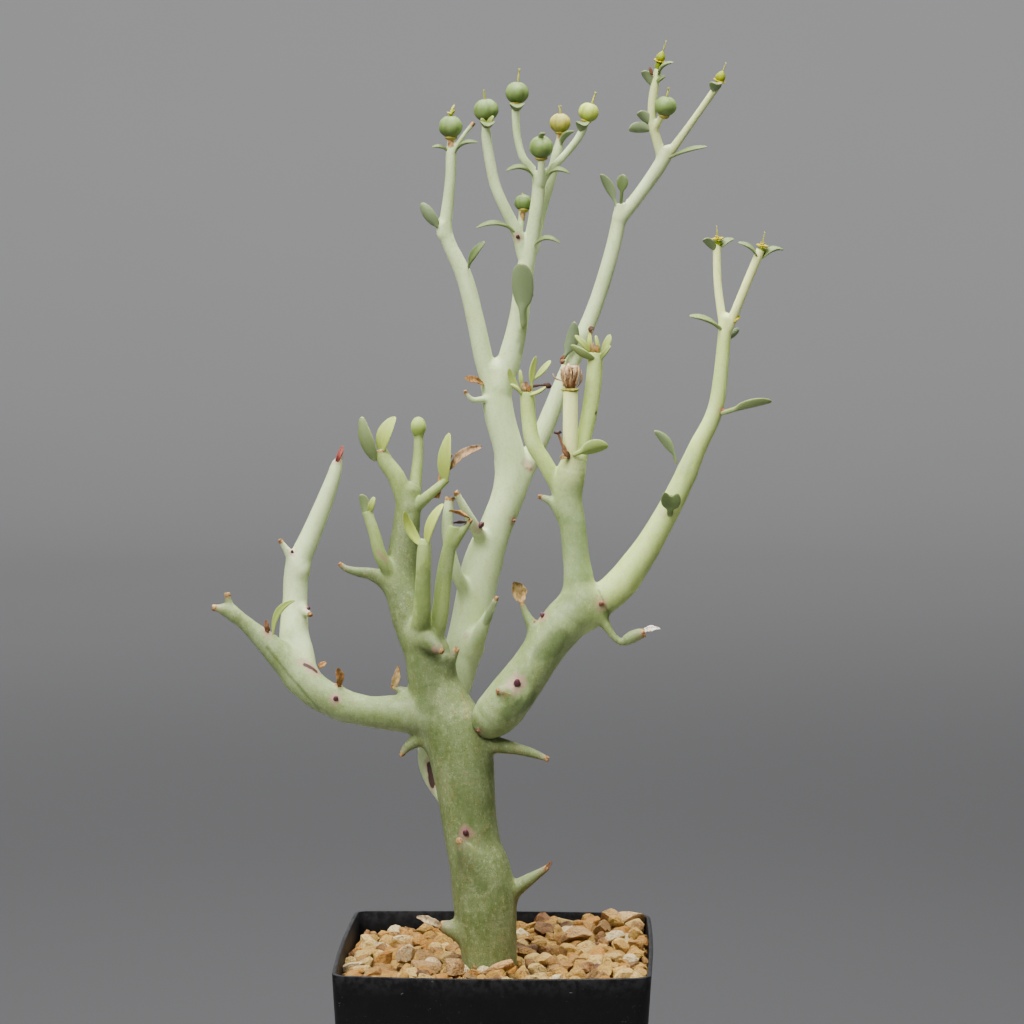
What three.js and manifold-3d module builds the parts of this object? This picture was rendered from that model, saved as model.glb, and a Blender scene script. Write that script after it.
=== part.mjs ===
// A potted euphorbia: thick green stems with horn-like leaf cushions, small leaves, flower
// heads on thin rays and round seed capsules, in a square black nursery pot of potting soil
// dressed with angular grit.
// Millimetres, +Z up. The origin is the middle of the pot's foot, on the surface it stands on,
// and the pot's bulging front wall faces -Y.

import * as THREE from 'three';
import { mergeVertices } from 'three/addons/utils/BufferGeometryUtils.js';
import Module from 'manifold-3d';

const wasm = await Module();
wasm.setup();

// ---- Driving dimensions -------------------------------------------------------------------

const rimWidth = 75;         // the square pot, across the outside of its rim
const footWidth = 67;        // across its foot
const potHeight = 80;
const wall = 1;
const potFloor = 1.6;
const potCorner = 7;         // radius of the rim's corners
const frontBulge = 3;        // how far the soil pushes the front wall out, at the rim
const sideBulge = 0.8;
const drainRadius = 3.5;
const drainOffset = 19;      // of each of the four drain holes, from both centre lines

const seat = 0.3;            // clearance between pieces that touch
const soilTop = 70;
const bedTop = 75.6;         // the gravel's bed, which its upper stones are sunk into
const bedSlope = 0.02;       // it rises towards the pot's right side
const stonePitch = 7.3;
const stoneSize = 5.5;
const stoneRise = 0.9;       // of a stone's middle above the bed

const hornSides = 5;
const bladeThickness = 0.9;
const broadLeaf = 3;         // a leaf wider than this is folded along its rib
const styleRadius = 0.4;
const glandRadius = 0.95;

// ---- Colours ------------------------------------------------------------------------------

const blackPlastic = 0x1c1c1d;
const darkSoil = 0x2e231a;
const creamGrit = 0xb9a483;
const oliveTrunk = 0x6b7a52;
const paleGreen = 0x8d9c72;
const sageGreen = 0xa3ab8b;
const limeGreen = 0x9aa860;
const creamStem = 0xc2bd92;
const capsuleGreen = 0x7d8458;
const capsuleTan = 0xb09a55;
const glandYellow = 0xd6c62c;
const dryBrown = 0x7c5c36;

// ---- Solids and meshes --------------------------------------------------------------------

function toSolid(geometry) {
  const bare = geometry.clone();
  bare.deleteAttribute('normal');
  bare.deleteAttribute('uv');
  const merged = mergeVertices(bare, 1e-4);
  return new wasm.Manifold(new wasm.Mesh({
    numProp: 3,
    vertProperties: new Float32Array(merged.attributes.position.array),
    triVerts: new Uint32Array(merged.index.array),
  }));
}

function toGeometry(solid) {
  const { vertProperties, triVerts } = solid.getMesh();
  const geometry = new THREE.BufferGeometry();
  geometry.setAttribute('position', new THREE.BufferAttribute(vertProperties, 3));
  geometry.setIndex(new THREE.BufferAttribute(triVerts, 1));
  geometry.computeVertexNormals();
  return geometry;
}

function fuse(solids) {
  return solids.reduce((whole, solid) => whole.add(solid));
}

// A cut can free a scrap: only the largest body stays.
function largestBody(solid) {
  return solid.decompose().reduce((a, b) => (a.volume() > b.volume() ? a : b));
}

function named(name, solid, color, roughness = 0.6) {
  const material = new THREE.MeshStandardMaterial({ color, roughness, metalness: 0 });
  const mesh = new THREE.Mesh(toGeometry(solid), material);
  mesh.name = name;
  return mesh;
}

// Moves every vertex of a geometry by a rule, place(x, y, z) -> THREE.Vector3.
function reshape(geometry, place) {
  const position = geometry.attributes.position;
  for (let i = 0; i < position.count; i += 1) {
    const p = place(position.getX(i), position.getY(i), position.getZ(i));
    position.setXYZ(i, p.x, p.y, p.z);
  }
  return geometry;
}

function seededRandom(seed) {
  let state = seed;
  return () => {
    state = (state + 0x6d2b79f5) | 0;
    let t = Math.imul(state ^ (state >>> 15), 1 | state);
    t = (t + Math.imul(t ^ (t >>> 7), 61 | t)) ^ t;
    return ((t ^ (t >>> 14)) >>> 0) / 4294967296;
  };
}

// ---- The pot, its soil and its gravel -----------------------------------------------------

// The pot's outside, drawn in by inset, between two heights.
function potForm(inset, bottom, top, layers) {
  const half = rimWidth / 2 - inset;
  const corner = potCorner - inset;
  const straight = half - corner;
  const outline = new THREE.Shape();
  outline.moveTo(-straight, -half);
  outline.quadraticCurveTo(0, -half, straight, -half);
  outline.quadraticCurveTo(half, -half, half, -straight);
  outline.quadraticCurveTo(half, 0, half, straight);
  outline.quadraticCurveTo(half, half, straight, half);
  outline.quadraticCurveTo(0, half, -straight, half);
  outline.quadraticCurveTo(-half, half, -half, straight);
  outline.quadraticCurveTo(-half, 0, -half, -straight);
  outline.quadraticCurveTo(-half, -half, -straight, -half);
  const depth = top - bottom;
  const geometry = new THREE.ExtrudeGeometry(outline, {
    depth, steps: layers, curveSegments: 4, bevelEnabled: false,
  });
  return toSolid(reshape(geometry, (x, y, z) => {
    const height = bottom + z;
    const width = THREE.MathUtils.lerp(footWidth, rimWidth, height / potHeight);
    const taper = (width / 2 - inset) / half;
    const across = x / half;
    const along = y / half;
    const swell = (height / potHeight) ** 2;
    const push = along < 0 ? frontBulge : sideBulge;
    return new THREE.Vector3(
      x * taper + swell * sideBulge * across * (1 - along * along),
      y * taper + swell * push * along * (1 - across * across),
      height,
    );
  }));
}

function drainHole(x, y) {
  const hole = new THREE.CylinderGeometry(drainRadius, drainRadius, 3 * potFloor, 16);
  hole.rotateX(Math.PI / 2);
  hole.translate(x, y, potFloor / 2);
  return toSolid(hole);
}

function makePot() {
  let pot = potForm(0, 0, potHeight, 3).subtract(potForm(wall, potFloor, potHeight + 1, 3));
  for (const x of [-drainOffset, drainOffset]) {
    for (const y of [-drainOffset, drainOffset]) {
      pot = pot.subtract(drainHole(x, y));
    }
  }
  return pot;
}

function makeSoil(stemHole) {
  return potForm(wall + seat, potFloor + seat, soilTop, 2).subtract(stemHole);
}

// One angular stone: a box with its corners pushed about.
function stone(x, y, z, random) {
  const across = () => stoneSize * (0.75 + 0.5 * random());
  const grit = new THREE.BoxGeometry(across(), across(), across());
  const corners = new Map();
  reshape(grit, (cx, cy, cz) => {
    const key = `${cx > 0}${cy > 0}${cz > 0}`;
    if (!corners.has(key)) {
      const push = () => 1 + 0.45 * (random() - 0.5);
      corners.set(key, new THREE.Vector3(cx * push(), cy * push(), cz * push()));
    }
    return corners.get(key);
  });
  grit.rotateZ(2 * Math.PI * random());
  grit.rotateX(0.9 * (random() - 0.5));
  grit.rotateY(0.9 * (random() - 0.5));
  grit.translate(x, y, z);
  return toSolid(grit);
}

function makeGravel(stemHole) {
  const random = seededRandom(11);
  const inset = wall + seat;
  const bed = potForm(inset, soilTop + seat, bedTop, 1);
  const stones = [];
  const reach = Math.floor((rimWidth / 2 - wall - stoneSize / 2) / stonePitch);
  for (let row = -reach; row <= reach; row += 1) {
    for (let column = -reach; column <= reach; column += 1) {
      const x = (column + 0.25 * (row & 1 ? 1 : -1) + 0.2 * (random() - 0.5)) * stonePitch;
      const y = (row + 0.2 * (random() - 0.5)) * stonePitch;
      const z = bedTop + stoneRise + bedSlope * x + 1.2 * (random() - 0.5);
      stones.push(stone(x, y, z, random));
    }
  }
  const inside = potForm(inset, soilTop + seat, potHeight + 10, 1);
  const gravel = fuse([bed, ...stones]).intersect(inside).subtract(stemHole);
  return largestBody(gravel);
}

// ---- What the plant grows from ------------------------------------------------------------

// A thicker limb gets more sides.
function sidesFor(route) {
  const thickest = Math.max(...route.map((point) => point[3]));
  if (thickest > 5) return 10;
  return thickest > 2 ? 7 : 5;
}

// A stem, shoot or horn: a round rod bent along a route of [x, y, z, radius], with grow
// added all round it and at both ends.
function limb(route, grow = 0, sides = sidesFor(route)) {
  const points = route.map(([x, y, z]) => new THREE.Vector3(x, y, z));
  const curve = new THREE.CatmullRomCurve3(points, false, 'centripetal');
  const last = route.length - 1;
  const rings = Math.max(2, last);
  const frames = [];
  let side = new THREE.Vector3(0, 1, 0);
  for (let ring = 0; ring <= rings; ring += 1) {
    const t = ring / rings;
    const ahead = curve.getTangent(t);
    side = side.clone().addScaledVector(ahead, -side.dot(ahead)).normalize();
    const centre = curve.getPoint(t);
    if (ring === 0) centre.addScaledVector(ahead, -grow);
    if (ring === rings) centre.addScaledVector(ahead, grow);
    const below = Math.min(last - 1, Math.floor(t * last));
    const radius = THREE.MathUtils.lerp(route[below][3], route[below + 1][3], t * last - below);
    frames.push({ centre, side, other: side.clone().cross(ahead), radius: radius + grow });
  }
  const rod = new THREE.CylinderGeometry(1, 1, 1, sides, rings);
  return toSolid(reshape(rod, (x, y, z) => {
    const { centre, side: first, other, radius } = frames[Math.round((y + 0.5) * rings)];
    return centre.clone().addScaledVector(first, x * radius).addScaledVector(other, z * radius);
  }));
}

// A leaf: a thick blade from base to tip, widest past its middle, folded along its rib and
// arched towards the way it faces.
function blade({ base, tip, width, face = [0, -1, 0.4], arch = 0.12 }, grow = 0) {
  const foot = new THREE.Vector3(...base);
  const along = new THREE.Vector3(...tip).sub(foot);
  const length = along.length() + 2 * grow;
  along.normalize();
  foot.addScaledVector(along, -grow);
  const up = new THREE.Vector3(...face);
  up.addScaledVector(along, -up.dot(along)).normalize();
  const across = up.clone().cross(along);
  const folds = width > broadLeaf ? 2 : 1;
  const box = new THREE.BoxGeometry(1, 1, 1, folds, 1, 3);
  return toSolid(reshape(box, (x, y, z) => {
    const s = z + 0.5;
    const outline = Math.max(0.22, Math.sin(Math.PI * (0.06 + 0.88 * s ** 0.9)));
    const sideways = x * (width * outline + 2 * grow);
    const lift = y * (bladeThickness + 2 * grow)
      + arch * length * 4 * s * (1 - s) + 0.25 * Math.abs(sideways);
    return foot.clone()
      .addScaledVector(along, s * length)
      .addScaledVector(across, sideways)
      .addScaledVector(up, lift);
  }));
}

// A seed capsule: a flattened globe with three faint lobes and its style on top.
function capsule({ centre, radius, lean = [0, 0, 1] }, grow = 0) {
  const globe = new THREE.SphereGeometry(1, 12, 6);
  const axis = new THREE.Vector3(...lean).normalize();
  const turn = new THREE.Quaternion().setFromUnitVectors(new THREE.Vector3(0, 1, 0), axis);
  const middle = new THREE.Vector3(...centre);
  const lobed = toSolid(reshape(globe, (x, y, z) => {
    const lobes = 1 + 0.05 * Math.cos(3 * Math.atan2(z, x)) * Math.hypot(x, z);
    const size = radius * lobes + grow;
    return new THREE.Vector3(x * size, y * size * 0.92, z * size)
      .applyQuaternion(turn).add(middle);
  }));
  const end = (reach) => middle.clone().addScaledVector(axis, reach * radius).toArray();
  const style = limb([[...end(0.6), styleRadius], [...end(1.75), styleRadius]], grow, 5);
  return lobed.add(style);
}

// A flower head: five round glands about a small cup, with its style in the middle.
function flowerHead({ centre, lean = [0, 0, 1] }, grow = 0) {
  const axis = new THREE.Vector3(...lean).normalize();
  const turn = new THREE.Quaternion().setFromUnitVectors(new THREE.Vector3(0, 0, 1), axis);
  const middle = new THREE.Vector3(...centre);
  const at = (x, y, z) => new THREE.Vector3(x, y, z).applyQuaternion(turn).add(middle).toArray();
  const pieces = [
    limb([[...at(0, 0, -1.6), 0.7], [...at(0, 0, -0.4), 1.2], [...at(0, 0, 0.6), 1.1]], grow),
    limb([[...at(0, 0, 0), styleRadius], [...at(0.4, 0, 2.6), styleRadius]], grow, 5),
  ];
  for (let k = 0; k < 5; k += 1) {
    const angle = (2 * Math.PI * k) / 5;
    const gland = new THREE.OctahedronGeometry(glandRadius + grow);
    gland.translate(...at(1.15 * Math.cos(angle), 1.15 * Math.sin(angle), 0.5));
    pieces.push(toSolid(gland));
  }
  return fuse(pieces);
}

// ---- The plant ----------------------------------------------------------------------------
// Each piece lists its limbs as routes of [x, y, z, radius] and its leaves as blades. A piece
// starts inside the one that carries it, and is cut to stand on it.

const capsules = [
  { centre: [-11.5, 12, 279], radius: 2.9 },
  { centre: [-3, 11, 283], radius: 3, lean: [-0.1, 0, 1] },
  { centre: [4.5, 12, 287], radius: 2.8, lean: [0.1, 0, 1] },
  { centre: [15, 18, 280], radius: 2.6 },
  { centre: [22, 12.5, 282.5], radius: 2.5, lean: [0.35, 0, 1] },
  { centre: [10.5, 10, 274], radius: 2.9, lean: [0, -0.3, 1] },
  { centre: [6, 16.5, 260.5], radius: 2.2, lean: [0, 0.4, 1] },
  { centre: [40.5, 17, 284], radius: 2.4, lean: [0.2, -0.1, 1] },
];
const tanCapsules = [3, 4];

const flowerHeads = [
  { name: 'flower_head_ray_left', centre: [53, -4.3, 252], lean: [-0.1, -0.2, 1] },
  { name: 'flower_head_ray_right', centre: [63.5, -7.3, 250.6], lean: [0.2, -0.2, 1] },
  { name: 'flower_head_top_right', centre: [53.6, 18, 289.6], lean: [0.3, -0.2, 1] },
  { name: 'flower_head_top_left', centre: [38.8, 18.7, 294.4], lean: [0.2, -0.2, 1] },
];

const trunk = {
  name: 'trunk',
  color: oliveTrunk,
  limbs: [
    [[-2, -13, 44, 5.6], [-1.5, -13, 60, 6.4], [-1.5, -13, 77, 6.8], [-2, -13, 86, 7.3],
      [-2.5, -13, 93.5, 7.7], [-3.5, -12.5, 100.5, 7.2], [-5, -12, 106, 6.6],
      [-6, -11.5, 112, 6.6], [-7, -11, 120.5, 7], [-8, -10, 127, 7.6], [-9.5, -9, 133, 7.8],
      [-12.5, -8, 139, 6.8]],
  ],
  horns: [
    [[-1, -12, 93, 3.2], [2.5, -12, 95.5, 2.8], [9, -13, 99.5, 1.9], [12.5, -14, 102.3, 0.8]],
    [[-5, -13, 87, 2.7], [-10.5, -13.5, 86.5, 1.9], [-13, -14, 86, 1]],
    [[-5.5, -14, 102, 2.8], [-7.5, -19.5, 107.5, 1.6], [-8, -21.5, 111, 0.7]],
    [[-13, -9, 131.5, 3], [-20.5, -10, 131.5, 1.7], [-23, -10, 127.5, 0.8]],
    [[-4, -11, 131.5, 3.3], [3.5, -13, 130.5, 2.4], [9, -14, 129, 1.8], [13, -15, 128, 1]],
    [[-4, -9, 99, 2.8], [-4, -3.5, 103, 1.8], [-4, -1.5, 106.5, 0.8]],
    [[-1, -10, 83, 2.8], [2.5, -4, 86.5, 1.7], [4, -2, 90, 0.8]],
    [[-5, -10, 118, 2.8], [0, -6, 121, 1.7], [2, -5, 124, 0.8]],
  ],
  blades: [{ base: [-11.5, -13.6, 86.4], tip: [-18.5, -13, 88.3], width: 2 }],
};

const rightBranch = {
  name: 'branch_right',
  color: paleGreen,
  limbs: [
    [[-8, -11, 128, 4.8], [-4.5, -13, 133, 5.6], [-1, -14, 137, 5.6], [3.5, -13.5, 142.5, 5.4],
      [9, -12.5, 150, 5], [13, -11.5, 156, 5], [17, -10.5, 161, 5.3], [21, -10, 166, 4.4]],
  ],
  horns: [
    [[4, -16, 138, 2.4], [3, -20.5, 142, 1.4], [2, -22, 144.5, 0.7]],
    [[11, -12, 154, 3.2], [8.5, -11.5, 161, 2.2], [6, -11, 166, 1.1]],
    [[22, -10.5, 163, 3.6], [29, -11, 159.5, 2.6], [32.5, -11.5, 157.5, 2.2],
      [36, -11.5, 158, 1.2]],
    [[8, -9, 147, 3], [10, -5, 151, 1.8], [11, -4, 154, 0.8]],
  ],
  blades: [
    { base: [6.5, -11, 165], tip: [4.3, -11, 170.5], width: 2 },
    { base: [35, -11.5, 158], tip: [40, -11.5, 158.6], width: 1.8, face: [0, 0, 1] },
  ],
};

const leftBranch = {
  name: 'branch_left',
  color: paleGreen,
  limbs: [
    [[-12, -8.5, 136.5, 4.8], [-22.5, -9, 138, 4.5], [-30.5, -9.5, 138.5, 3.8],
      [-36.5, -9.5, 140, 3.8], [-42, -9, 142.5, 4], [-46.5, -8.5, 146, 4], [-51, -8.5, 151, 3.8],
      [-55.5, -9, 155.5, 3.4], [-59, -9.5, 158.5, 2.7], [-62.5, -10, 161.5, 2.4],
      [-65, -10, 163.3, 1.8]],
  ],
  horns: [
    [[-63, -10, 161.5, 2], [-64.3, -10, 165, 1.3], [-64.5, -10, 167.5, 0.7]],
    [[-63.5, -10, 162.2, 2], [-66.5, -10.4, 163.6, 1.3], [-69, -10.6, 164, 0.7]],
    [[-37.5, -9, 140, 3], [-38, -9, 143.5, 1.5], [-38, -9, 146, 0.9]],
    [[-20, -8, 140, 2.4], [-23, -7.5, 143.5, 1.4], [-25.5, -7, 144.7, 0.8]],
    [[-52, -7, 152, 2.6], [-56, -3, 153, 1.5], [-58.5, -2, 154, 0.8]],
    [[-33, -9, 138, 2.8], [-34, -6, 135.5, 1.7], [-35, -5, 134, 0.9]],
  ],
  blades: [
    { base: [-54, -11, 156], tip: [-48, -15, 166], width: 3.2, arch: -0.2 },
    { base: [-38, -9, 145], tip: [-38.4, -9, 149.5], width: 1.8 },
    { base: [-24.5, -7.2, 143.6], tip: [-23.6, -7, 149], width: 1.8 },
  ],
};

const backStem = {
  name: 'stem_back',
  color: sageGreen,
  limbs: [
    [[-8, -8, 113, 4.2], [-13, -2.5, 120, 4.2], [-15, 0, 125, 4.2], [-14, 3, 133, 4.4],
      [-10.5, 6, 144, 4.5], [-7, 8, 157.5, 4.7], [-3.5, 10, 173.5, 4.7], [-0.5, 11, 181.5, 4],
      [2, 12, 188, 4], [3, 12.5, 194, 4], [2.5, 12.5, 200, 3.7], [0.5, 12.5, 207.5, 3.6],
      [-0.5, 13, 213.5, 3.6], [-0.5, 13, 219.5, 3]],
  ],
  horns: [
    [[-6, 5, 152, 2.6], [-3, 0, 159, 1.8], [0, -1.5, 165.5, 0.7]],
    [[-6, 8, 163, 2], [-10, 3, 171, 1.6], [-12, 1, 181, 1.5], [-11.5, 2, 189.5, 1.2]],
    [[-3, 9, 177, 2], [-5.5, 4, 182, 1.5], [-7.5, 2, 186, 1.2], [-10, 1, 191, 0.8]],
    [[-12, 8, 139, 3], [-15, 12, 143, 1.8], [-16, 13, 146, 0.8]],
    [[-2, 13, 172, 3], [-1, 17, 176, 1.8], [0, 18.5, 179, 0.8]],
    [[2, 14, 197, 2.6], [1, 18, 201, 1.5], [0.5, 19, 204, 0.8]],
  ],
  blades: [{ base: [-3, 11, 215], tip: [-8.4, 7, 218], width: 2.2 }],
};

const backLeftArm = {
  name: 'stem_back_left_arm',
  color: sageGreen,
  limbs: [
    [[-1.5, 13, 216, 2.6], [-3.5, 12.5, 222, 2.3], [-5.5, 12, 231.5, 2.2], [-8.5, 12, 243, 2],
      [-12, 12, 250.5, 1.7], [-13.5, 12, 255, 1.8]],
  ],
  blades: [
    { base: [-7.5, 11, 243.6], tip: [-2.8, 7, 251.1], width: 2.2 },
    { base: [-14, 11.4, 254], tip: [-19.2, 10.5, 260.5], width: 3.2 },
  ],
};

const backMiddleArm = {
  name: 'stem_back_middle_arm',
  color: sageGreen,
  limbs: [
    [[0.5, 13, 216, 3], [3, 13, 223.5, 2.8], [5, 13, 232.5, 2.4], [6.5, 13, 244, 2.2],
      [8, 13, 251.5, 1.8], [9.5, 13, 261, 1.6], [10, 13, 268, 1.7]],
    [[10.2, 12, 265.5, 1.1], [10.5, 10.8, 268.5, 1], [10.5, 10.2, 271, 1.1]],
  ],
  blades: [
    { base: [5.5, 11, 228], tip: [5.6, 5, 246.6], width: 6.2, arch: 0.05 },
    { base: [9.6, 12, 267], tip: [1.6, 9.5, 268], width: 2.4, face: [0, -0.4, 1], arch: 0.22 },
    { base: [10.8, 12, 266.6], tip: [17.7, 10, 267.2], width: 2.4, face: [0, -0.4, 1], arch: 0.22 },
    { base: [8.2, 12, 249.4], tip: [15.3, 10, 250.4], width: 2.2, face: [0, -0.4, 1], arch: 0.2 },
  ],
};

const backRightArm = {
  name: 'stem_back_right_arm',
  color: creamStem,
  limbs: [
    [[3.5, 12.5, 190, 3], [7.5, 14, 197.5, 2.6], [11.5, 15, 206, 2.5], [15.5, 16, 216, 2.3],
      [20, 17, 226.5, 2.2], [24, 18, 236.5, 2.1], [27.5, 18.5, 248, 2], [29, 19, 254.5, 1.9],
      [30, 19, 260, 1.8]],
  ],
  blades: [
    { base: [15.4, 14.6, 218], tip: [18.6, 11.6, 231.6], width: 3.4 },
    { base: [29.5, 18.4, 257.5], tip: [24.6, 17, 267.3], width: 2.8 },
    { base: [30, 18.6, 258.8], tip: [30, 16.6, 267.5], width: 2.4 },
  ],
};

const topRightStem = {
  name: 'stem_top_right',
  color: creamStem,
  limbs: [
    [[29.8, 19, 257, 1.8], [33, 19, 260.8, 1.6], [36.5, 19, 265.5, 1.6], [39.5, 19, 270, 1.7],
      [41, 19, 273.5, 1.5]],
  ],
  blades: [
    { base: [40.4, 18.3, 271.2], tip: [51, 16, 274], width: 2.6, face: [0, -0.4, 1], arch: 0.15 },
  ],
};

const topRays = [
  {
    name: 'ray_top_right',
    color: creamStem,
    limbs: [[[40.5, 19, 271, 1.2], [47, 18.5, 280, 1], [53, 18, 288.5, 1]]],
    blades: [{ base: [52.3, 17.4, 286.4], tip: [53.9, 15.4, 291.6], width: 3.2 }],
  },
  {
    name: 'ray_top_left',
    color: creamStem,
    limbs: [
      [[40, 19, 271, 1.3], [38.5, 19, 276, 1.15], [37.5, 19, 280, 1.15], [37.5, 19, 285.5, 1.2],
        [38.5, 18.8, 293, 1.1]],
      [[37.8, 19, 278, 0.9], [39.2, 17.7, 280.6, 0.9], [40, 17.1, 282.2, 1]],
    ],
    blades: [
      { base: [37.8, 18.8, 277.8], tip: [31.8, 18, 278.6], width: 3.2, face: [0, -0.5, 1] },
      { base: [37.6, 18.8, 280.6], tip: [33.6, 17.6, 282.4], width: 2.4 },
      { base: [37.8, 18.8, 288.6], tip: [35.2, 17.6, 292.6], width: 2.2 },
      { base: [38.2, 18.4, 289.6], tip: [42.2, 15.6, 294.6], width: 2.4 },
    ],
  },
];

const capsuleStems = [
  {
    name: 'stem_capsule_1',
    limbs: [[[-13.3, 12, 253, 1.7], [-12.2, 12, 261, 1.4], [-11.6, 12, 267.5, 1.35],
      [-11.5, 12, 274.5, 1.35], [-11.5, 12, 277, 1.9]]],
    blades: [
      { base: [-11, 11.4, 270.6], tip: [-4.2, 7.6, 273.6], width: 2.2, face: [0, -0.4, 1] },
      { base: [-11.8, 11.6, 270.6], tip: [-16, 10.6, 274.2], width: 2.2 },
    ],
  },
  {
    name: 'stem_capsule_2',
    limbs: [
      [[6, 13, 248, 1.6], [4.7, 12.5, 253, 1.5], [3, 12, 256.5, 1.35], [-0.5, 11.5, 264, 1.3],
        [-2, 11, 270.5, 1.3], [-2.9, 11, 278, 1.25], [-3, 11, 281, 1.8]],
      [[4.8, 13, 252, 1], [5.4, 15.6, 256, 1], [5.8, 16, 258.8, 1.3]],
    ],
    blades: [
      { base: [4.2, 11.8, 252.6], tip: [-5.6, 9.6, 254.2], width: 2.4, face: [0, -0.4, 1] },
      { base: [-2.8, 10.4, 275.6], tip: [-2.4, 6.4, 281.6], width: 3.6 },
    ],
  },
  {
    name: 'stem_capsule_3',
    limbs: [[[10, 13, 265.4, 1.2], [8, 12.5, 269, 1.1], [6, 12, 271.5, 1.05],
      [4.6, 12, 276.5, 1.05], [4.2, 12, 282.5, 1.1], [4.3, 12, 285, 1.7]]],
    blades: [{ base: [4.3, 11.4, 280], tip: [5, 7.6, 285.8], width: 3.4 }],
  },
  {
    name: 'stem_capsule_4',
    limbs: [[[8.5, 14, 249.5, 1.5], [10, 17, 257.5, 1.4], [12.5, 18, 266, 1.4],
      [14.4, 18, 274.5, 1.25], [14.9, 18, 278.2, 1.8]]],
    blades: [{ base: [14.5, 17.6, 273.4], tip: [18, 14.6, 276.8], width: 2.2 }],
  },
  {
    name: 'stem_capsule_5',
    limbs: [[[10.4, 13, 265.8, 1.2], [12.5, 13, 268.5, 1.1], [16.5, 12.5, 272.5, 1.05],
      [20.2, 12.5, 277.5, 1.1], [21.2, 12.5, 280.4, 1.7]]],
    blades: [{ base: [20, 11.8, 276.4], tip: [21.4, 8.4, 282.4], width: 3.4 }],
  },
].map((stem) => ({ ...stem, color: sageGreen }));

const centreLeftStem = {
  name: 'stem_centre_left',
  color: paleGreen,
  limbs: [
    [[-12, -8, 136.5, 6.4], [-15, -7.5, 145.5, 6], [-16.5, -7, 152.5, 5.5], [-19, -6.5, 158, 5.1],
      [-21.5, -6, 164, 4.4], [-23, -5, 170.5, 4], [-22.5, -4.5, 177, 3.6], [-21.5, -4, 184, 3.3],
      [-21, -4, 191, 2.8]],
  ],
  horns: [
    [[-24, -5.5, 169, 3], [-29.5, -6.5, 172.5, 1.8], [-33.5, -7, 173.6, 1.2],
      [-38, -7, 174.6, 0.7]],
    [[-15, -9, 148, 2.8], [-12, -12, 152, 1.6], [-11.5, -13, 154.5, 0.8]],
    [[-17, -5, 150, 3], [-19, -1, 154, 1.8], [-20, 0, 157, 0.8]],
    [[-22, -3, 176, 2.6], [-21, 1, 179, 1.6], [-20.5, 2.4, 182, 0.8]],
  ],
};

const centreLeftShoots = [
  {
    name: 'shoot_centre_left_a',
    limbs: [[[-21.5, -5, 188, 2.2], [-24, -5, 195, 2], [-26.5, -5, 198.5, 1.9],
      [-28.2, -5, 202, 1.6]]],
    blades: [
      { base: [-28.4, -5.4, 199.6], tip: [-32, -7.4, 209.8], width: 3.8 },
      { base: [-27.2, -5, 200.4], tip: [-24, -4, 209.4], width: 2.8 },
    ],
  },
  {
    name: 'shoot_centre_left_b',
    limbs: [[[-20, -3.4, 187, 1.7], [-19.2, -1, 196.5, 1.5], [-18.5, 0, 203, 1.4],
      [-18.3, 0.2, 206.5, 1.7], [-18.2, 0.2, 208.4, 0.7]]],
    blades: [],
  },
  {
    name: 'shoot_centre_left_c',
    limbs: [[[-19, -4.8, 188, 1.6], [-15, -7, 192, 1.35], [-11.6, -7, 195, 1.1]]],
    blades: [
      { base: [-12.2, -7.2, 192.6], tip: [-10.9, -8, 206], width: 3.8 },
      { base: [-12.4, -7.8, 194], tip: [-2.4, -11, 202.4], width: 2.2, arch: -0.1 },
    ],
  },
  {
    name: 'shoot_centre_left_d',
    limbs: [[[-24, -6, 170, 1.9], [-27.5, -8.5, 176, 1.6], [-29, -9, 181.5, 1.45],
      [-31, -9, 187.4, 1.2]]],
    blades: [
      { base: [-31, -9.2, 186], tip: [-32.4, -9.6, 190.4], width: 1.8 },
      { base: [-30.2, -9.2, 186], tip: [-29.4, -9.6, 190.4], width: 1.6 },
    ],
  },
  {
    name: 'shoot_centre_left_front',
    limbs: [[[-18.5, -8.6, 156.5, 2.5], [-17.5, -13, 161.5, 2.2], [-17, -15, 171, 2],
      [-16.6, -16, 181, 1.6]]],
    blades: [
      { base: [-17.2, -16.4, 179.4], tip: [-20.8, -19.2, 187.6], width: 3.2 },
      { base: [-15.8, -16.2, 179.4], tip: [-12.2, -17, 189.4], width: 3.2 },
    ],
  },
  {
    name: 'shoot_centre_left_inner',
    limbs: [[[-16, -7.6, 153, 2.4], [-13.5, -9, 161, 2.2], [-12.5, -9.5, 173.5, 2.1],
      [-10.6, -10, 183, 1.7]]],
    blades: [{ base: [-10.8, -10.4, 181.6], tip: [-5.8, -12.4, 188], width: 4.6, arch: 0.2 }],
  },
].map((shoot) => ({ ...shoot, color: limeGreen }));

const leftShoot = {
  name: 'shoot_left_upright',
  color: paleGreen,
  limbs: [
    [[-47, -7.6, 147, 4], [-48, -5, 151.5, 4], [-49, -3, 156, 3.6], [-49, -1, 163.5, 3.2],
      [-48, 0, 174.5, 3.3], [-44.5, 0.8, 181.5, 2.7], [-41.5, 1.4, 188.5, 2.4],
      [-39, 2, 197, 1.3], [-37.4, 2.2, 201.5, 0.7]],
  ],
  horns: [
    [[-47.5, -0.5, 172, 2.4], [-51, -1.5, 177, 1.3], [-52.6, -2, 179.6, 0.7]],
    [[-47.5, -2.6, 166, 2], [-45, -4.4, 163.2, 1.2], [-44.4, -5, 161.4, 0.7]],
    [[-49, 0, 160, 2.4], [-51, 4, 163, 1.5], [-52, 5, 166, 0.7]],
  ],
};

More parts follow.
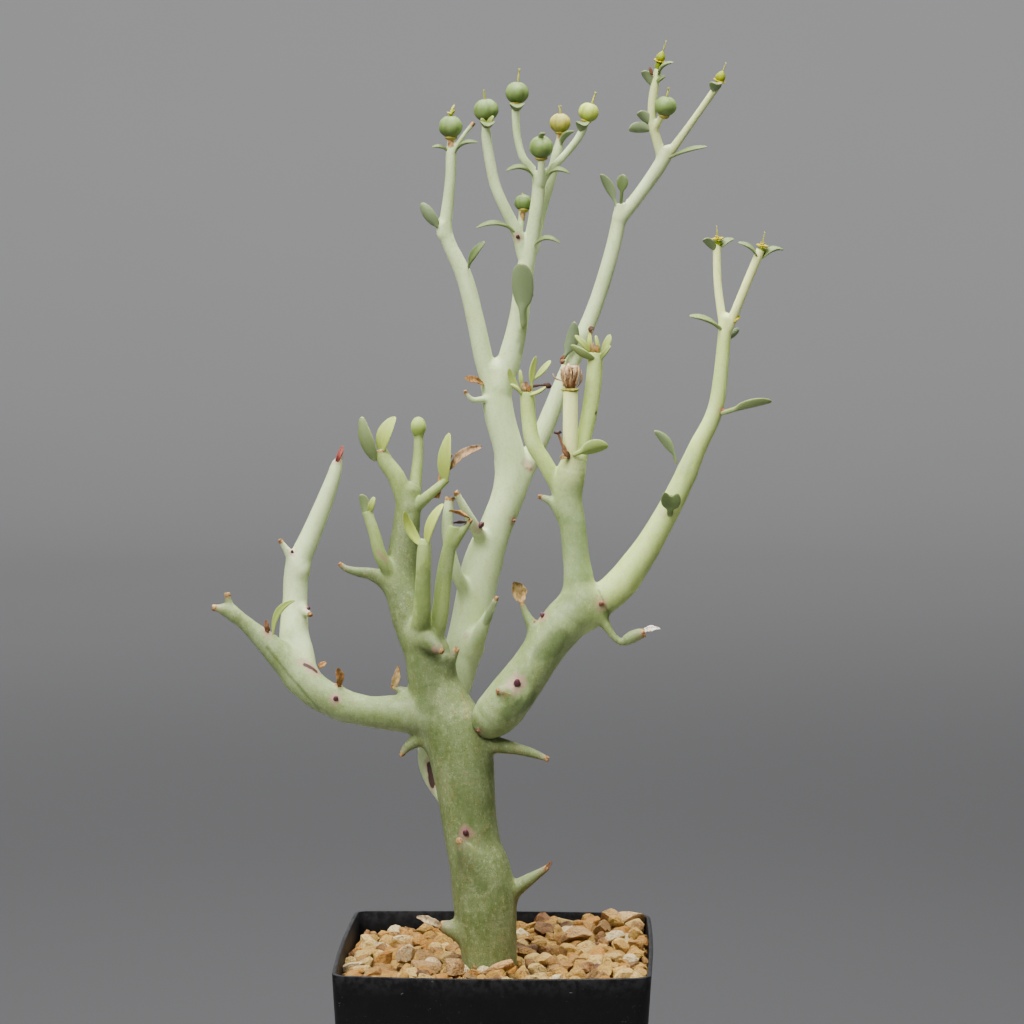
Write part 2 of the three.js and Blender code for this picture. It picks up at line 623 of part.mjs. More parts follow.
const rightUprightStem = {
  name: 'stem_right_upright',
  color: limeGreen,
  limbs: [
    [[20, -10, 162.5, 4.2], [20, -9.5, 170.5, 3.6], [19.5, -9, 175.5, 3.2],
      [18.5, -8.5, 184.5, 3.2], [17.3, -8, 190.5, 3.5], [18, -8, 196, 3.5],
      [18.7, -8, 199.5, 2.6]],
  ],
  horns: [
    [[17.2, -8.2, 186, 2.6], [12.5, -8.6, 190.2, 1.5], [10, -8.6, 190.8, 0.8]],
    [[18.2, -10, 194.5, 1.4], [16.6, -12.4, 200, 1], [15, -13, 205.6, 0.8]],
    [[19, -6.6, 180, 2.4], [20, -3.4, 184, 1.5], [20.4, -2.6, 187, 0.8]],
  ],
  blades: [{ base: [19.6, -8, 196.5], tip: [27.2, -8.4, 203], width: 2.8 }],
};

const rightFingers = [
  {
    name: 'finger_right_left',
    color: limeGreen,
    limbs: [[[16.4, -8, 190.5, 2], [12, -7.6, 198.5, 1.9], [9, -7.5, 203.5, 1.9],
      [8, -7, 209, 1.8], [7.6, -7, 216, 1.6]]],
    blades: [
      { base: [6.8, -7.4, 213.4], tip: [3.6, -8.8, 221.4], width: 3 },
      { base: [8.2, -7, 213.8], tip: [9.8, -6.4, 224.2], width: 2.2 },
      { base: [8.6, -6.4, 213.6], tip: [13.4, -4.8, 223], width: 2.2 },
      { base: [8.4, -8.4, 212.6], tip: [12.6, -11, 217.3], width: 2.2 },
    ],
  },
  {
    name: 'finger_right_middle',
    color: creamStem,
    limbs: [[[18, -8.8, 196, 1.9], [18, -9.5, 204.5, 1.8], [18, -9.5, 217.5, 1.75]]],
    blades: [],
  },
  {
    name: 'finger_right_right',
    color: limeGreen,
    limbs: [[[19.6, -7, 196.5, 1.9], [21, -6.5, 204, 1.8], [22.2, -6, 209, 1.9],
      [23.5, -5.5, 218, 1.95], [24, -5.5, 225.4, 1.5]]],
    blades: [
      { base: [23.2, -6.2, 222.6], tip: [17.9, -9.2, 227.2], width: 2.6 },
      { base: [23.4, -5, 223.6], tip: [19.8, -3.6, 228.8], width: 2 },
      { base: [24.2, -5.2, 223.6], tip: [24.6, -4, 229.6], width: 2 },
      { base: [24.6, -5.6, 223.4], tip: [27.2, -6, 229], width: 2 },
      { base: [24.6, -6.8, 220.8], tip: [27.8, -10.2, 226.8], width: 2.2 },
    ],
  },
];

const driedFlower = {
  name: 'dried_flower',
  color: dryBrown,
  limbs: [[[18, -9.5, 216, 1.3], [18, -9.5, 219, 1.4], [18.2, -9.5, 222, 0.9]]],
  blades: [
    { base: [18, -9.6, 218], tip: [16.2, -11, 222.8], width: 2 },
    { base: [18, -9.6, 218], tip: [19.8, -11, 223], width: 2 },
    { base: [18, -9.4, 218.5], tip: [17.6, -7.8, 223.4], width: 2 },
  ],
};

const rightLongStem = {
  name: 'stem_right_long',
  color: limeGreen,
  limbs: [
    [[21.5, -9.6, 162.5, 4.2], [26, -9, 166, 3.7], [29.5, -8.5, 169, 3.3], [35.5, -8, 177, 2.6],
      [40.5, -7.5, 185.5, 2.6], [45, -7, 194.5, 2.6], [48.5, -6.5, 202.5, 2.2],
      [52.5, -6, 211, 1.9], [54, -5.5, 221, 1.7], [54.7, -5, 229, 1.6], [55.2, -5, 233, 1.6]],
  ],
  horns: [
    [[31, -7, 170, 2.6], [33, -3, 172.5, 1.5], [34, -2, 175, 0.8]],
    [[46, -6, 196.5, 2], [47.5, -2.4, 199, 1.3], [48, -1.6, 201.5, 0.8]],
  ],
  blades: [
    { base: [41, -8.6, 184.8], tip: [42.2, -14.2, 193], width: 4.4 },
    { base: [44.6, -7.6, 197], tip: [38, -11, 207], width: 2.6 },
    { base: [52.8, -6, 209], tip: [66.2, -9.2, 213.6], width: 2.6, face: [0, -0.5, 1] },
    { base: [54.6, -5.4, 229.6], tip: [46, -8.2, 233.6], width: 2.6 },
    { base: [55, -4.6, 228.2], tip: [58.4, -1.6, 230.4], width: 2 },
  ],
};

const longStemRays = [
  {
    name: 'ray_right_left',
    limbs: [[[54.6, -5, 230.6, 1.1], [53.1, -4.5, 241, 0.95], [52.8, -4.1, 251, 0.95]]],
    blades: [
      { base: [52.6, -4.4, 249.4], tip: [49.2, -7, 252.2], width: 2.4, face: [0, -0.5, 1] },
      { base: [53, -4, 249.4], tip: [56.9, -1.8, 252.4], width: 2.4, face: [0, -0.5, 1] },
    ],
  },
  {
    name: 'ray_right_right',
    limbs: [[[55.8, -5.2, 231, 1.15], [59.5, -6.5, 240.5, 1.05], [63.2, -7.2, 249.6, 1.05]]],
    blades: [
      { base: [62.9, -7.2, 247.8], tip: [57.4, -9, 251.4], width: 2.4, face: [0, -0.5, 1] },
      { base: [63.2, -7, 247.8], tip: [69.2, -5, 249.6], width: 2.4, face: [0, -0.5, 1] },
    ],
  },
].map((ray) => ({ ...ray, color: creamStem }));

const stems = [
  trunk, rightBranch, leftBranch, backStem, backLeftArm, backMiddleArm, backRightArm,
  topRightStem, ...topRays, ...capsuleStems, centreLeftStem, ...centreLeftShoots, leftShoot,
  rightUprightStem, ...rightFingers, driedFlower, rightLongStem, ...longStemRays,
];

function growStem({ limbs, horns = [], blades = [] }, grow) {
  return fuse([
    ...limbs.map((route) => limb(route, grow)),
    ...horns.map((route) => limb(route, grow, hornSides)),
    ...blades.map((leaf) => blade(leaf, grow)),
  ]);
}

function boxesMeet(a, b) {
  const one = a.boundingBox();
  const two = b.boundingBox();
  return [0, 1, 2].every((k) => one.min[k] < two.max[k] && two.min[k] < one.max[k]);
}

// Grows the pieces in turn: each one is cut clear of those before it by the seat.
function makePlant() {
  const pieces = [
    ...capsules.map((fruit, k) => ({
      name: `capsule_${k + 1}`,
      color: tanCapsules.includes(k) ? capsuleTan : capsuleGreen,
      make: (grow) => capsule(fruit, grow),
    })),
    ...flowerHeads.map((head) => ({
      name: head.name,
      color: glandYellow,
      make: (grow) => flowerHead(head, grow),
    })),
    ...stems.map((stem) => ({
      name: stem.name,
      color: stem.color,
      make: (grow) => growStem(stem, grow),
    })),
  ];
  const standing = [];
  const meshes = pieces.map(({ name, color, make }) => {
    let solid = make(0);
    for (const other of standing) {
      if (boxesMeet(solid, other)) solid = solid.subtract(other);
    }
    standing.push(make(seat));
    return named(name, largestBody(solid), color);
  });
  return meshes;
}

// ---- The whole ----------------------------------------------------------------------------

const stemHole = growStem(trunk, seat);
const euphorbia = new THREE.Group();
euphorbia.add(
  named('pot', makePot(), blackPlastic, 0.5),
  named('soil', makeSoil(stemHole), darkSoil, 0.95),
  named('gravel', makeGravel(stemHole), creamGrit, 0.9),
  ...makePlant(),
);

export default euphorbia;
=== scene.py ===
"""The potted euphorbia's visible pieces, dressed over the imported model.

Lengths in the tables are millimetres in the model's own frame: the origin is the middle of the
pot's foot, +Z is up and the pot's bulging front wall faces -Y. Blender's meshes are in metres.
"""

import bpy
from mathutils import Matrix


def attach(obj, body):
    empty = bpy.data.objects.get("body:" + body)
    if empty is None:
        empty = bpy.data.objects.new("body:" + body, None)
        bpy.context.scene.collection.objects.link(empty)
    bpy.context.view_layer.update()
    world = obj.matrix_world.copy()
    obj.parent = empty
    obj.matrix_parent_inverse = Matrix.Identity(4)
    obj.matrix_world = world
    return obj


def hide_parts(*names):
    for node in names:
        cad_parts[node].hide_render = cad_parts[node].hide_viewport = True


bl_info = {
    "name": "Potted Euphorbia",
    "version": (1, 0, 0),
    "blender": (4, 5, 0),
    "location": "3D View > Sidebar > Euphorbia",
    "description": "A potted euphorbia: pot, grit, green stems, leaves, capsules and flower heads",
    "category": "Object",
}

import math

import bmesh
import bpy
import numpy as np
from bpy.props import FloatProperty, FloatVectorProperty, IntProperty, PointerProperty
from mathutils import Matrix, Vector
from mathutils.bvhtree import BVHTree

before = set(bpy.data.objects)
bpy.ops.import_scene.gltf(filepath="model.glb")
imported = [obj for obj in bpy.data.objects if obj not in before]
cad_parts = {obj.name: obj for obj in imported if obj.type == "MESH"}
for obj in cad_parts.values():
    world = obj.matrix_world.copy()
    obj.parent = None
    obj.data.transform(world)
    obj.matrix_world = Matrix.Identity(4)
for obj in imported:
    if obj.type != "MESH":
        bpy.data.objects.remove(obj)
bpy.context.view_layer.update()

MM = 0.001
PHOTO = 1024  # width and height of the photograph's frame, in its own points
SENSOR = 36.0  # width of the camera's sensor in millimetres
FULL_TURN = 6.283  # in radians, for the random draws

# ---- The plant's stems, horns and leaves ----------------------------------------------------
# A route lists points (x, y, z, radius).

# the fourth band holds dark patches: partly the skin's own dark mottling, partly painted shade
DRY, BLUSH, SEAM, PATCH_AND_SHADE = range(4)  # the bands of the paint called marks

FRONT = (0, -1, 0.4)
REAR = (0.4, 1, 0.3)
UPWARD = (0, -0.4, 1)
TOP = (0, 0.1, 1)


def leaf(base, tip, width, face=FRONT, bow=0.12, stalk=0.0, blunt=0.3, sway=0.0, fresh=None):
    """A leaf between two points. face is the way its inner side looks and bow how far it bows
    that way, as a share of its length; stalk is the share of the length that is stalk, blunt
    rounds its tip (above 1 it is notched), sway bows it sideways and fresh makes it yellower."""
    return dict(
        base=base, tip=tip, width=width, face=face, bow=bow, stalk=stalk, blunt=blunt, sway=sway,
        fresh=fresh,
    )


STEMS = {
    "trunk": dict(skin="trunk", limbs=[
        [(-2, -13, 44, 5.6), (-1.5, -13, 60, 6.2), (-1.2, -13, 77, 6.5), (-1.8, -13, 86, 7.1),
         (-2.5, -13, 93.5, 7.6), (-3.5, -12.5, 100.5, 7.2), (-5, -12, 106, 6.6),
         (-6, -11.5, 112, 6.6), (-7, -11, 120.5, 7), (-8, -10, 127, 7.6), (-9.5, -9, 133, 7.8),
         (-12.5, -8, 139, 6.8)],
    ], horns=[
        [(-1, -12, 91.5, 3), (3.5, -12.4, 95, 2.2), (8.5, -13.4, 98.6, 1.4),
         (11.8, -14, 100.9, 0.8), (12.9, -14.2, 101.8, 0.6)],
        [(-4, -13, 85.5, 3.6), (-8.5, -13.8, 86, 2.6), (-12, -14.2, 87, 1.5),
         (-13.2, -14.3, 87.4, 1)],
        [(-3.8, -15.5, 98.5, 4.2), (-5.4, -18, 102.6, 3), (-7, -20, 106.4, 1.8),
         (-8.4, -21.4, 109.8, 0.6)],
        [(-13, -9, 131.5, 3), (-18, -9.7, 131.8, 1.8), (-21.2, -10, 130, 1.1),
         (-22.8, -10, 127.8, 0.5)],
        [(-4, -11, 131.5, 2.8), (3.5, -13, 130.6, 1.6), (9, -14, 129.4, 1.1), (13, -15, 128, 0.6)],
        [(-4, -9, 99, 2.4), (-4, -4, 102.5, 1.4), (-4, -1.5, 106.5, 0.6)],
        [(-1, -10, 83, 2.4), (2.2, -4.5, 86, 1.4), (4, -2, 90, 0.6)],
        [(-6, -9, 118, 2.6), (-6.4, -4.5, 120.5, 1.5), (-6.6, -2.6, 124, 0.6)],
    ]),
    "branch_right": dict(skin="branch", limbs=[
        [(-1.7, -13.2, 136.2, 3.6), (-0.3, -13.8, 138, 5), (1.8, -14, 140.2, 5.5),
         (4, -13.5, 143.2, 5.4), (9, -12.5, 150, 5), (13, -11.5, 156, 5), (17, -10.5, 161, 5.3),
         (21, -10, 166, 4.4)],
    ], horns=[
        [(5.4, -16, 143.4, 3), (3.6, -17.6, 144.4, 2.1), (1.8, -18.6, 145, 1.1),
         (0.6, -19, 145, 0.6)],
        [(11.6, -12, 155, 3), (9.2, -11.6, 159.4, 1.5), (7.3, -11.2, 163, 0.85),
         (6.3, -11, 165.8, 0.55)],
        [(23.5, -10.5, 163.5, 2.4), (26.3, -11, 160.4, 1.25), (28.6, -11.4, 157.2, 0.8),
         (30.4, -11.5, 156, 0.9), (32.6, -11.5, 157, 1.5), (34.6, -11.5, 157.9, 1.35),
         (36, -11.5, 158.2, 1)],
        [(8, -9, 147, 2.8), (10, -5, 151, 1.5), (11, -4, 154, 0.6)],
    ]),
    "branch_left": dict(skin="branch", limbs=[
        [(-12, -8.5, 136.5, 4.8), (-22.5, -9, 138, 4.5), (-30.5, -9.5, 138.5, 3.8),
         (-36.5, -9.5, 140, 3.8), (-42, -9, 142.5, 4), (-46.5, -8.5, 146, 4), (-51, -8.5, 151, 3.5),
         (-55.5, -9, 155.5, 2.6), (-59, -9.5, 158.8, 1.9), (-62.5, -10, 161.8, 1.55),
         (-65, -10, 163.3, 1.3)],
    ], horns=[
        [(-62.6, -10, 161.8, 1.4), (-64, -10, 164.6, 0.9), (-64.5, -10, 167.3, 0.7)],
        [(-63.5, -10, 162.4, 1.3), (-66.4, -10.4, 163.5, 0.95), (-68.1, -10.6, 163.8, 0.7)],
        [(-36.5, -9.5, 139.6, 2.8), (-37.4, -10, 142.6, 1.6), (-38, -9.6, 145.2, 0.7)],
        [(-20, -8, 140, 2.4), (-22.6, -7.6, 143.2, 1.1), (-25.2, -7.2, 144.4, 0.5)],
        [(-52, -7, 152, 2.4), (-56, -3, 153, 1.3), (-58.5, -2, 154, 0.6)],
        [(-33, -8, 139.4, 2.4), (-34, -4.6, 137.6, 1.4), (-35, -3.4, 136.4, 0.6)],
    ], leaves=[
        leaf((-53.4, -11, 157), (-47.6, -14, 166), 2.1, (-0.6, -1, 0.4), 0, 0, 0.2, -0.85, 0.6),
    ]),
    "stem_back": dict(skin="sage", limbs=[
        [(-6, -11.2, 107, 2.6), (-7.8, -8.2, 114, 3.5), (-12.2, -3.2, 119.8, 4.1),
         (-15, 0, 125, 4.2), (-14, 3, 133, 4.4), (-10.5, 6, 144, 4.5), (-7, 8, 157.5, 4.7),
         (-3.5, 10, 173.5, 4.7), (-0.5, 11, 181.5, 4), (2, 12, 188, 4), (3, 12.5, 194, 4),
         (2.5, 12.5, 200, 3.7), (0.5, 12.5, 207.5, 3.6), (-0.5, 13, 213.5, 3.6),
         (-0.5, 13, 219.5, 3)],
    ], horns=[
        [(-6, 5, 152, 2.5), (-3.2, 0.4, 158.5, 1.5), (0.2, -1.5, 165.7, 0.5)],
        [(-6, 8, 163, 1.9), (-10, 3, 171, 1.5), (-12, 1, 181, 1.4), (-11.5, 2, 189.5, 1.1)],
        [(-3, 9, 177, 2), (-5.5, 4, 182, 1.4), (-7.5, 2, 186, 1.1), (-10, 1, 191, 0.7)],
        [(-12, 8, 139, 2.8), (-15, 12, 143, 1.5), (-16, 13, 146, 0.6)],
        [(-2, 13, 172, 2.8), (-1, 17, 176, 1.5), (0, 18.5, 179, 0.6)],
        [(2, 14, 197, 2.4), (1, 18, 201, 1.3), (0.5, 19, 204, 0.6)],
        [(-2.6, 11, 212.8, 0.9), (-6.4, 9, 212.8, 0.6), (-8.2, 8.2, 215, 0.45)],
    ]),
    "stem_back_left_arm": dict(skin="sage", limbs=[
        [(-1.5, 13, 216, 2.6), (-3.5, 12.5, 222, 2.3), (-5.5, 12, 231.5, 2.2), (-8.5, 12, 243, 2),
         (-12, 12, 250.5, 1.7), (-13.5, 12, 255, 1.8)],
    ], leaves=[
        leaf((-7.3, 11, 244.4), (-3, 7, 251.4), 2.3, (-0.6, -1, 0.3), 0.12, 0.25, 0.4),
        leaf((-13.8, 11.4, 254), (-18.8, 10.5, 260.6), 3.4, REAR, -0.1, 0.15, 0.7),
    ]),
    "stem_back_middle_arm": dict(skin="sage", limbs=[
        [(0.5, 13, 216, 3), (3, 13, 223.5, 2.8), (5, 13, 232.5, 2.4), (6.5, 13, 244, 2.2),
         (8, 13, 251.5, 1.8), (9.5, 13, 261, 1.6), (10, 13, 268, 1.6)],
        [(10.2, 12, 265.5, 1.1), (10.5, 10.8, 268.5, 0.9), (10.5, 10.2, 271, 0.8)],
    ], leaves=[
        leaf((6.3, 10.8, 229.8), (5.7, 5.8, 246.2), 6, REAR, 0.02, 0.34, 0.9, 0.08, 0.12),
        leaf((8.6, 11.6, 267), (1.8, 9.5, 268.2), 2.3, UPWARD, 0.24, 0.12, 0.5),
        leaf((11.6, 11.6, 267), (17.5, 10, 267.6), 2.3, UPWARD, 0.22, 0.12, 0.5),
        leaf((8.6, 11.4, 250), (15.2, 10, 250.8), 2.3, UPWARD, 0.26, 0.1, 0.5),
        leaf((10.2, 9.4, 275.8), (11.2, 7.2, 277.4), 1.6, TOP, 0.1, 0, 0.8),
    ]),
    "stem_back_right_arm": dict(skin="sage", limbs=[
        [(3.5, 12.5, 190, 3), (7.5, 14, 197.5, 2.5), (11.5, 15, 206, 2.3), (15.5, 16, 216, 2.1),
         (20, 17, 226.5, 2), (24, 18, 236.5, 1.85), (27.5, 18.5, 248, 1.8), (29, 19, 254.5, 1.75),
         (30, 19, 260, 1.6)],
    ], leaves=[
        leaf((15.6, 14, 222), (18.6, 11.6, 231.8), 3.5, REAR, 0.05, 0.18, 0.3, -0.2, 0),
        leaf((29, 18.2, 259), (24.7, 17, 267.6), 2.7, REAR, 0.1, 0.3, 0.4),
        leaf((29.8, 18.4, 259.4), (30.3, 16.6, 267.6), 2.9, FRONT, 0.05, 0.62, 1),
    ]),
    "stem_top_right": dict(skin="sage", limbs=[
        [(29.8, 19, 257, 1.8), (33, 19, 260.8, 1.6), (36.5, 19, 265.5, 1.6), (39.5, 19, 270, 1.7),
         (41, 19, 273.5, 1.4)],
    ], leaves=[
        leaf((41, 18.2, 271.2), (51, 16, 274.2), 2.5, UPWARD, 0.05, 0.3, 0.4),
    ]),
    "ray_top_right": dict(skin="tan", limbs=[
        [(40.5, 19, 271, 1.2), (47, 18.5, 280, 0.85), (53, 18, 288.5, 0.85)],
    ], leaves=[
        leaf((52.4, 17.4, 287.4), (53.5, 14.2, 289.2), 3.3, TOP, 0.25, 0, 1),
    ]),
    "ray_top_left": dict(skin="tan", limbs=[
        [(40, 19, 271, 1.3), (38.5, 19, 276, 1.15), (37.5, 19, 280, 1.1), (37.5, 19, 285.5, 1.1),
         (38.8, 18.8, 293, 0.9)],
        [(37.8, 19, 278, 0.9), (39.2, 17.7, 280.6, 0.8), (40, 17.1, 282.2, 0.9)],
    ], leaves=[
        leaf((37.6, 18.8, 278.2), (31.6, 18, 278.4), 3.2, (0.2, 1, 0.6), 0.1, 0.1, 0.8),
        leaf((37.4, 18.6, 279.6), (33.8, 17.6, 282.6), 2.8, REAR, 0.1, 0, 0.9),
        leaf((37.5, 18.8, 289), (34.9, 17.6, 292.6), 2.5, REAR, 0.1, 0, 0.9),
        leaf((38.8, 18.4, 291.4), (42.6, 16.2, 294.6), 2, UPWARD, 0.2, 0, 0.5),
        leaf((38.4, 18.2, 289.8), (40.6, 17, 291.4), 1.1, FRONT, 0.1, 0, 0.5),
    ]),
    "stem_capsule_1": dict(skin="sage", limbs=[
        [(-13.3, 12, 253, 1.7), (-12.2, 12, 261, 1.4), (-11.6, 12, 267.5, 1.3),
         (-11.5, 12, 272.6, 1.3), (-11.5, 12, 275.2, 0.95), (-11.5, 12, 277, 0.9)],
    ], horns=[
        [(-10.9, 11.6, 273.2, 0.7), (-8.6, 10.8, 276.6, 0.5), (-5.8, 10.4, 280, 0.55)],
    ], leaves=[
        leaf((-10.7, 11.4, 272.4), (-4.6, 8.4, 275), 2.2, UPWARD, 0.2, 0.15, 0.5),
        leaf((-12.3, 11.6, 273.2), (-16.1, 10.6, 274), 1.7, UPWARD, 0.15, 0.2, 0.7),
    ]),
    "stem_capsule_2": dict(skin="sage", limbs=[
        [(6, 13, 248, 1.6), (4.7, 12.5, 253, 1.5), (3, 12, 256.5, 1.35), (-0.5, 11.5, 264, 1.3),
         (-2, 11, 270.5, 1.3), (-2.9, 11, 277, 1.2), (-3, 11, 279.6, 0.9), (-3, 11, 281, 0.9)],
        [(4.8, 13, 252, 1), (5.4, 15.6, 256, 0.8), (5.8, 16, 258.8, 0.9)],
    ], leaves=[
        leaf((4.4, 11.4, 253.2), (-5.5, 9.6, 254.2), 2.5, UPWARD, 0.2, 0.25, 0.5),
        leaf((-2.7, 10.4, 278.4), (-2.3, 6.6, 279), 3.8, TOP, 0.22, 0, 1),
        leaf((-3, 9.8, 279.2), (-4.1, 8, 281), 1.2, FRONT, 0.1, 0, 0.3, 0, 0.7),
        leaf((-2.4, 9.8, 279.2), (-1, 8.2, 281.6), 1.3, FRONT, 0.1, 0, 0.3, 0, 0.7),
    ]),
    "stem_capsule_3": dict(skin="sage", limbs=[
        [(10, 13, 265.4, 1.1), (8, 12.5, 269, 0.95), (6, 12, 271.5, 0.9), (4.6, 12, 276.5, 0.9),
         (4.2, 12, 282.5, 0.95), (4.3, 12, 285, 0.9)],
    ], leaves=[
        leaf((4.4, 11.4, 282.6), (4.9, 7.4, 283.4), 3.8, TOP, 0.22, 0, 1),
    ]),
    "stem_capsule_4": dict(skin="sage", limbs=[
        [(8.5, 14, 249.5, 1.5), (10, 17, 257.5, 1.4), (12.5, 18, 266, 1.3), (14.4, 18, 273.6, 1.2),
         (14.9, 18, 276.4, 0.9), (14.9, 18, 278.2, 0.9)],
    ], leaves=[
        leaf((14.9, 17.2, 274.4), (18.5, 14.8, 278), 2.6, TOP, 0.15, 0.1, 0.5),
    ]),
    "stem_capsule_5": dict(skin="sage", limbs=[
        [(10.4, 13, 265.8, 1.1), (12.5, 13, 268.5, 0.95), (16.5, 12.5, 272.5, 0.9),
         (20.2, 12.5, 277.5, 0.95), (21.2, 12.5, 280.4, 0.9)],
    ], leaves=[
        leaf((20.2, 11.8, 277.6), (21, 8.2, 279.2), 3.5, TOP, 0.3, 0, 1),
    ]),
    "stem_centre_left": dict(skin="moss", limbs=[
        [(-12, -8, 136.5, 6.4), (-15, -7.5, 145.5, 6), (-16.5, -7, 152.5, 5.5),
         (-19, -6.5, 158, 5.1), (-21.5, -6, 164, 4.4), (-23, -5, 170.5, 4), (-22.5, -4.5, 177, 3.6),
         (-21.5, -4, 184, 3.3), (-21, -4, 191, 2.8)],
    ], horns=[
        [(-24, -5.5, 168.6, 2.8), (-29.5, -6.5, 171.4, 1.6), (-33.5, -7, 172.2, 1.1),
         (-36, -7, 172.9, 0.8), (-37.8, -7, 174.2, 0.5)],
        [(-12.5, -9, 149, 2.6), (-10.6, -11, 151.6, 1.4), (-9, -11.4, 154.4, 0.7)],
        [(-18.5, -9, 157, 3), (-16, -13, 156.2, 2.4), (-13.8, -15, 154.9, 1.5),
         (-12.2, -16, 154, 0.6)],
        [(-17, -5, 150, 2.8), (-19, -1, 154, 1.6), (-20, 0, 157, 0.6)],
        [(-22, -3, 176, 2.4), (-21, 1, 179, 1.4), (-20.5, 2.4, 182, 0.6)],
    ]),
    "shoot_centre_left_a": dict(skin="lime", limbs=[
        [(-21.5, -5, 188, 2.3), (-24, -5, 195, 2.1), (-26.5, -5, 198.5, 1.9),
         (-28, -5, 201.6, 1.6)],
    ], leaves=[
        leaf((-28.9, -5.4, 198.6), (-32.2, -7.4, 209.8), 4, REAR, -0.1, 0, 0.2, 0.1, 0.35),
        leaf((-27.6, -5.4, 200.6), (-24.2, -4.6, 209.6), 4.5, (-0.7, -1, 0.2), 0.1, 0, 0.35,
             fresh=0.8),
    ]),
    "shoot_centre_left_b": dict(skin="lime", limbs=[
        [(-20.2, -3.4, 187, 2), (-19.6, -1.4, 193.5, 1.5), (-19, -0.3, 199.5, 1.25),
         (-18.9, 0.1, 204, 1.1), (-18.9, 0.2, 206, 0.85)],
        [(-18.9, 0.2, 205.6, 1.5), (-18.9, 0.2, 206.4, 1.85), (-18.9, 0.2, 207.2, 1.5)],
    ], leaves=[
        leaf((-19.1, -0.6, 204.2), (-18.9, 0, 209.2), 3.5, (0, 1, 0.1), -0.22, 0, 0.8, 0, 1.3),
        leaf((-18.7, 1, 204.2), (-18.8, 0.4, 209), 3.4, (0, -1, 0.1), -0.22, 0, 0.8, 0, 1.3),
    ]),
    "shoot_centre_left_c": dict(skin="lime", limbs=[
        [(-19, -4.8, 188, 1.5), (-15, -7, 191.6, 1.15), (-11.6, -7, 194.6, 0.85)],
    ], leaves=[
        leaf((-12, -7.1, 193.4), (-11, -8, 206), 4.3, (-0.8, -1, 0.1), 0.08, 0, 0.1, 0.12, 0.9),
    ]),
    "shoot_centre_left_d": dict(skin="lime", limbs=[
        [(-24, -6, 170, 1.9), (-27.5, -8.5, 176, 1.6), (-29, -9, 181.5, 1.4),
         (-30.8, -9, 187, 1.2)],
    ], leaves=[
        leaf((-30.9, -9.4, 185), (-32.2, -9.8, 191.2), 2.8, REAR, 0.1, 0.1, 0.9, 0, 0.3),
        leaf((-30.2, -9, 186.4), (-29, -9.4, 190.6), 1.7, FRONT, 0.12, 0, 0.4),
    ]),
    "shoot_centre_left_front": dict(skin="lime", limbs=[
        [(-18.5, -8.6, 156.5, 2.6), (-17.5, -13, 161.5, 2.2), (-17, -15, 171, 1.85),
         (-16.6, -16, 179.6, 1.55), (-16.5, -16, 181, 1.1)],
    ], leaves=[
        leaf((-17.2, -16.2, 179.4), (-21.4, -18.4, 188), 3, (0.8, -1, 0.3), -0.14, 0, 0.4, 0, 1),
        leaf((-16, -16.2, 179.4), (-12, -17, 189.8), 3.3, (-0.9, -1, 0.3), 0.1, 0, 0.4, 0, 1),
    ]),
    "shoot_centre_left_inner": dict(skin="lime", limbs=[
        [(-16, -7.6, 153, 2.4), (-13.5, -9, 161, 2.1), (-12.2, -9.5, 172, 1.9),
         (-10.6, -10, 180, 1.6), (-9.6, -10, 183.4, 1.5)],
    ], horns=[
        [(-9.8, -10, 179.8, 1.3), (-7.6, -10.4, 182.6, 0.9), (-5.6, -10.8, 185.4, 0.5)],
    ]),
    "shoot_left_upright": dict(skin="sage", limbs=[
        [(-47, -7.6, 147, 4), (-48, -5, 151.5, 4), (-49, -3, 156, 3.6), (-49, -1, 163.5, 3),
         (-48.4, 0, 172.5, 2.9), (-45.5, 0.8, 179.5, 2.5), (-42, 1.4, 188, 2.1),
         (-39.6, 1.8, 194.6, 1.65), (-38.8, 2, 197.4, 1.35), (-38.3, 2.1, 198.6, 0.75),
         (-37.6, 2.2, 201.4, 0.4)],
    ], horns=[
        [(-48, -0.5, 172, 2.2), (-50.8, -1.4, 176.6, 0.9), (-52.6, -2, 179.4, 0.5)],
        [(-47.2, -2.6, 162.6, 1.2), (-45.6, -4, 161.6, 0.8), (-44.6, -4.6, 161.3, 0.5)],
        [(-49, 0, 160, 2.2), (-51, 4, 163, 1.3), (-52, 5, 166, 0.6)],
    ]),
    "stem_right_upright": dict(skin="glaucous", limbs=[
        [(20, -10, 162.5, 4.2), (20, -9.5, 170.5, 3.6), (19.5, -9, 175.5, 3.2),
         (18.5, -8.5, 184.5, 3.2), (17.3, -8, 190.5, 3.5), (18, -8, 196, 3.5),
         (18.7, -8, 199.5, 2.6)],
    ], horns=[
        [(17.2, -8.2, 186.4, 2.2), (13.2, -8.5, 189.6, 1.1), (10.2, -8.6, 190.8, 0.5)],
        [(19, -6.6, 180, 2.2), (20, -3.4, 184, 1.3), (20.4, -2.6, 187, 0.6)],
    ], leaves=[
        leaf((18.4, -11, 200.6), (27.2, -9.2, 203), 3.9, (0.2, 1, 0.5), -0.1, 0.25, 0.4, 0.45, 0.8),
    ]),
    "finger_right_left": dict(skin="spring", limbs=[
        [(16.4, -8, 190.5, 2), (12, -7.6, 198.5, 1.9), (9, -7.5, 203.5, 1.9), (8, -7, 209, 1.8),
         (7.6, -7, 215.6, 1.8)],
    ], leaves=[
        leaf((6.2, -8, 215.4), (3.2, -8.2, 221.4), 1.7, FRONT, -0.1, 0.1, 0.5, -0.25),
        leaf((6.4, -7.2, 216), (5.9, -7.2, 221), 1.1, FRONT, 0.1, 0, 0.4),
        leaf((6.3, -8.4, 215.2), (3.4, -8.6, 217.6), 1.1, UPWARD, 0.1, 0, 0.3),
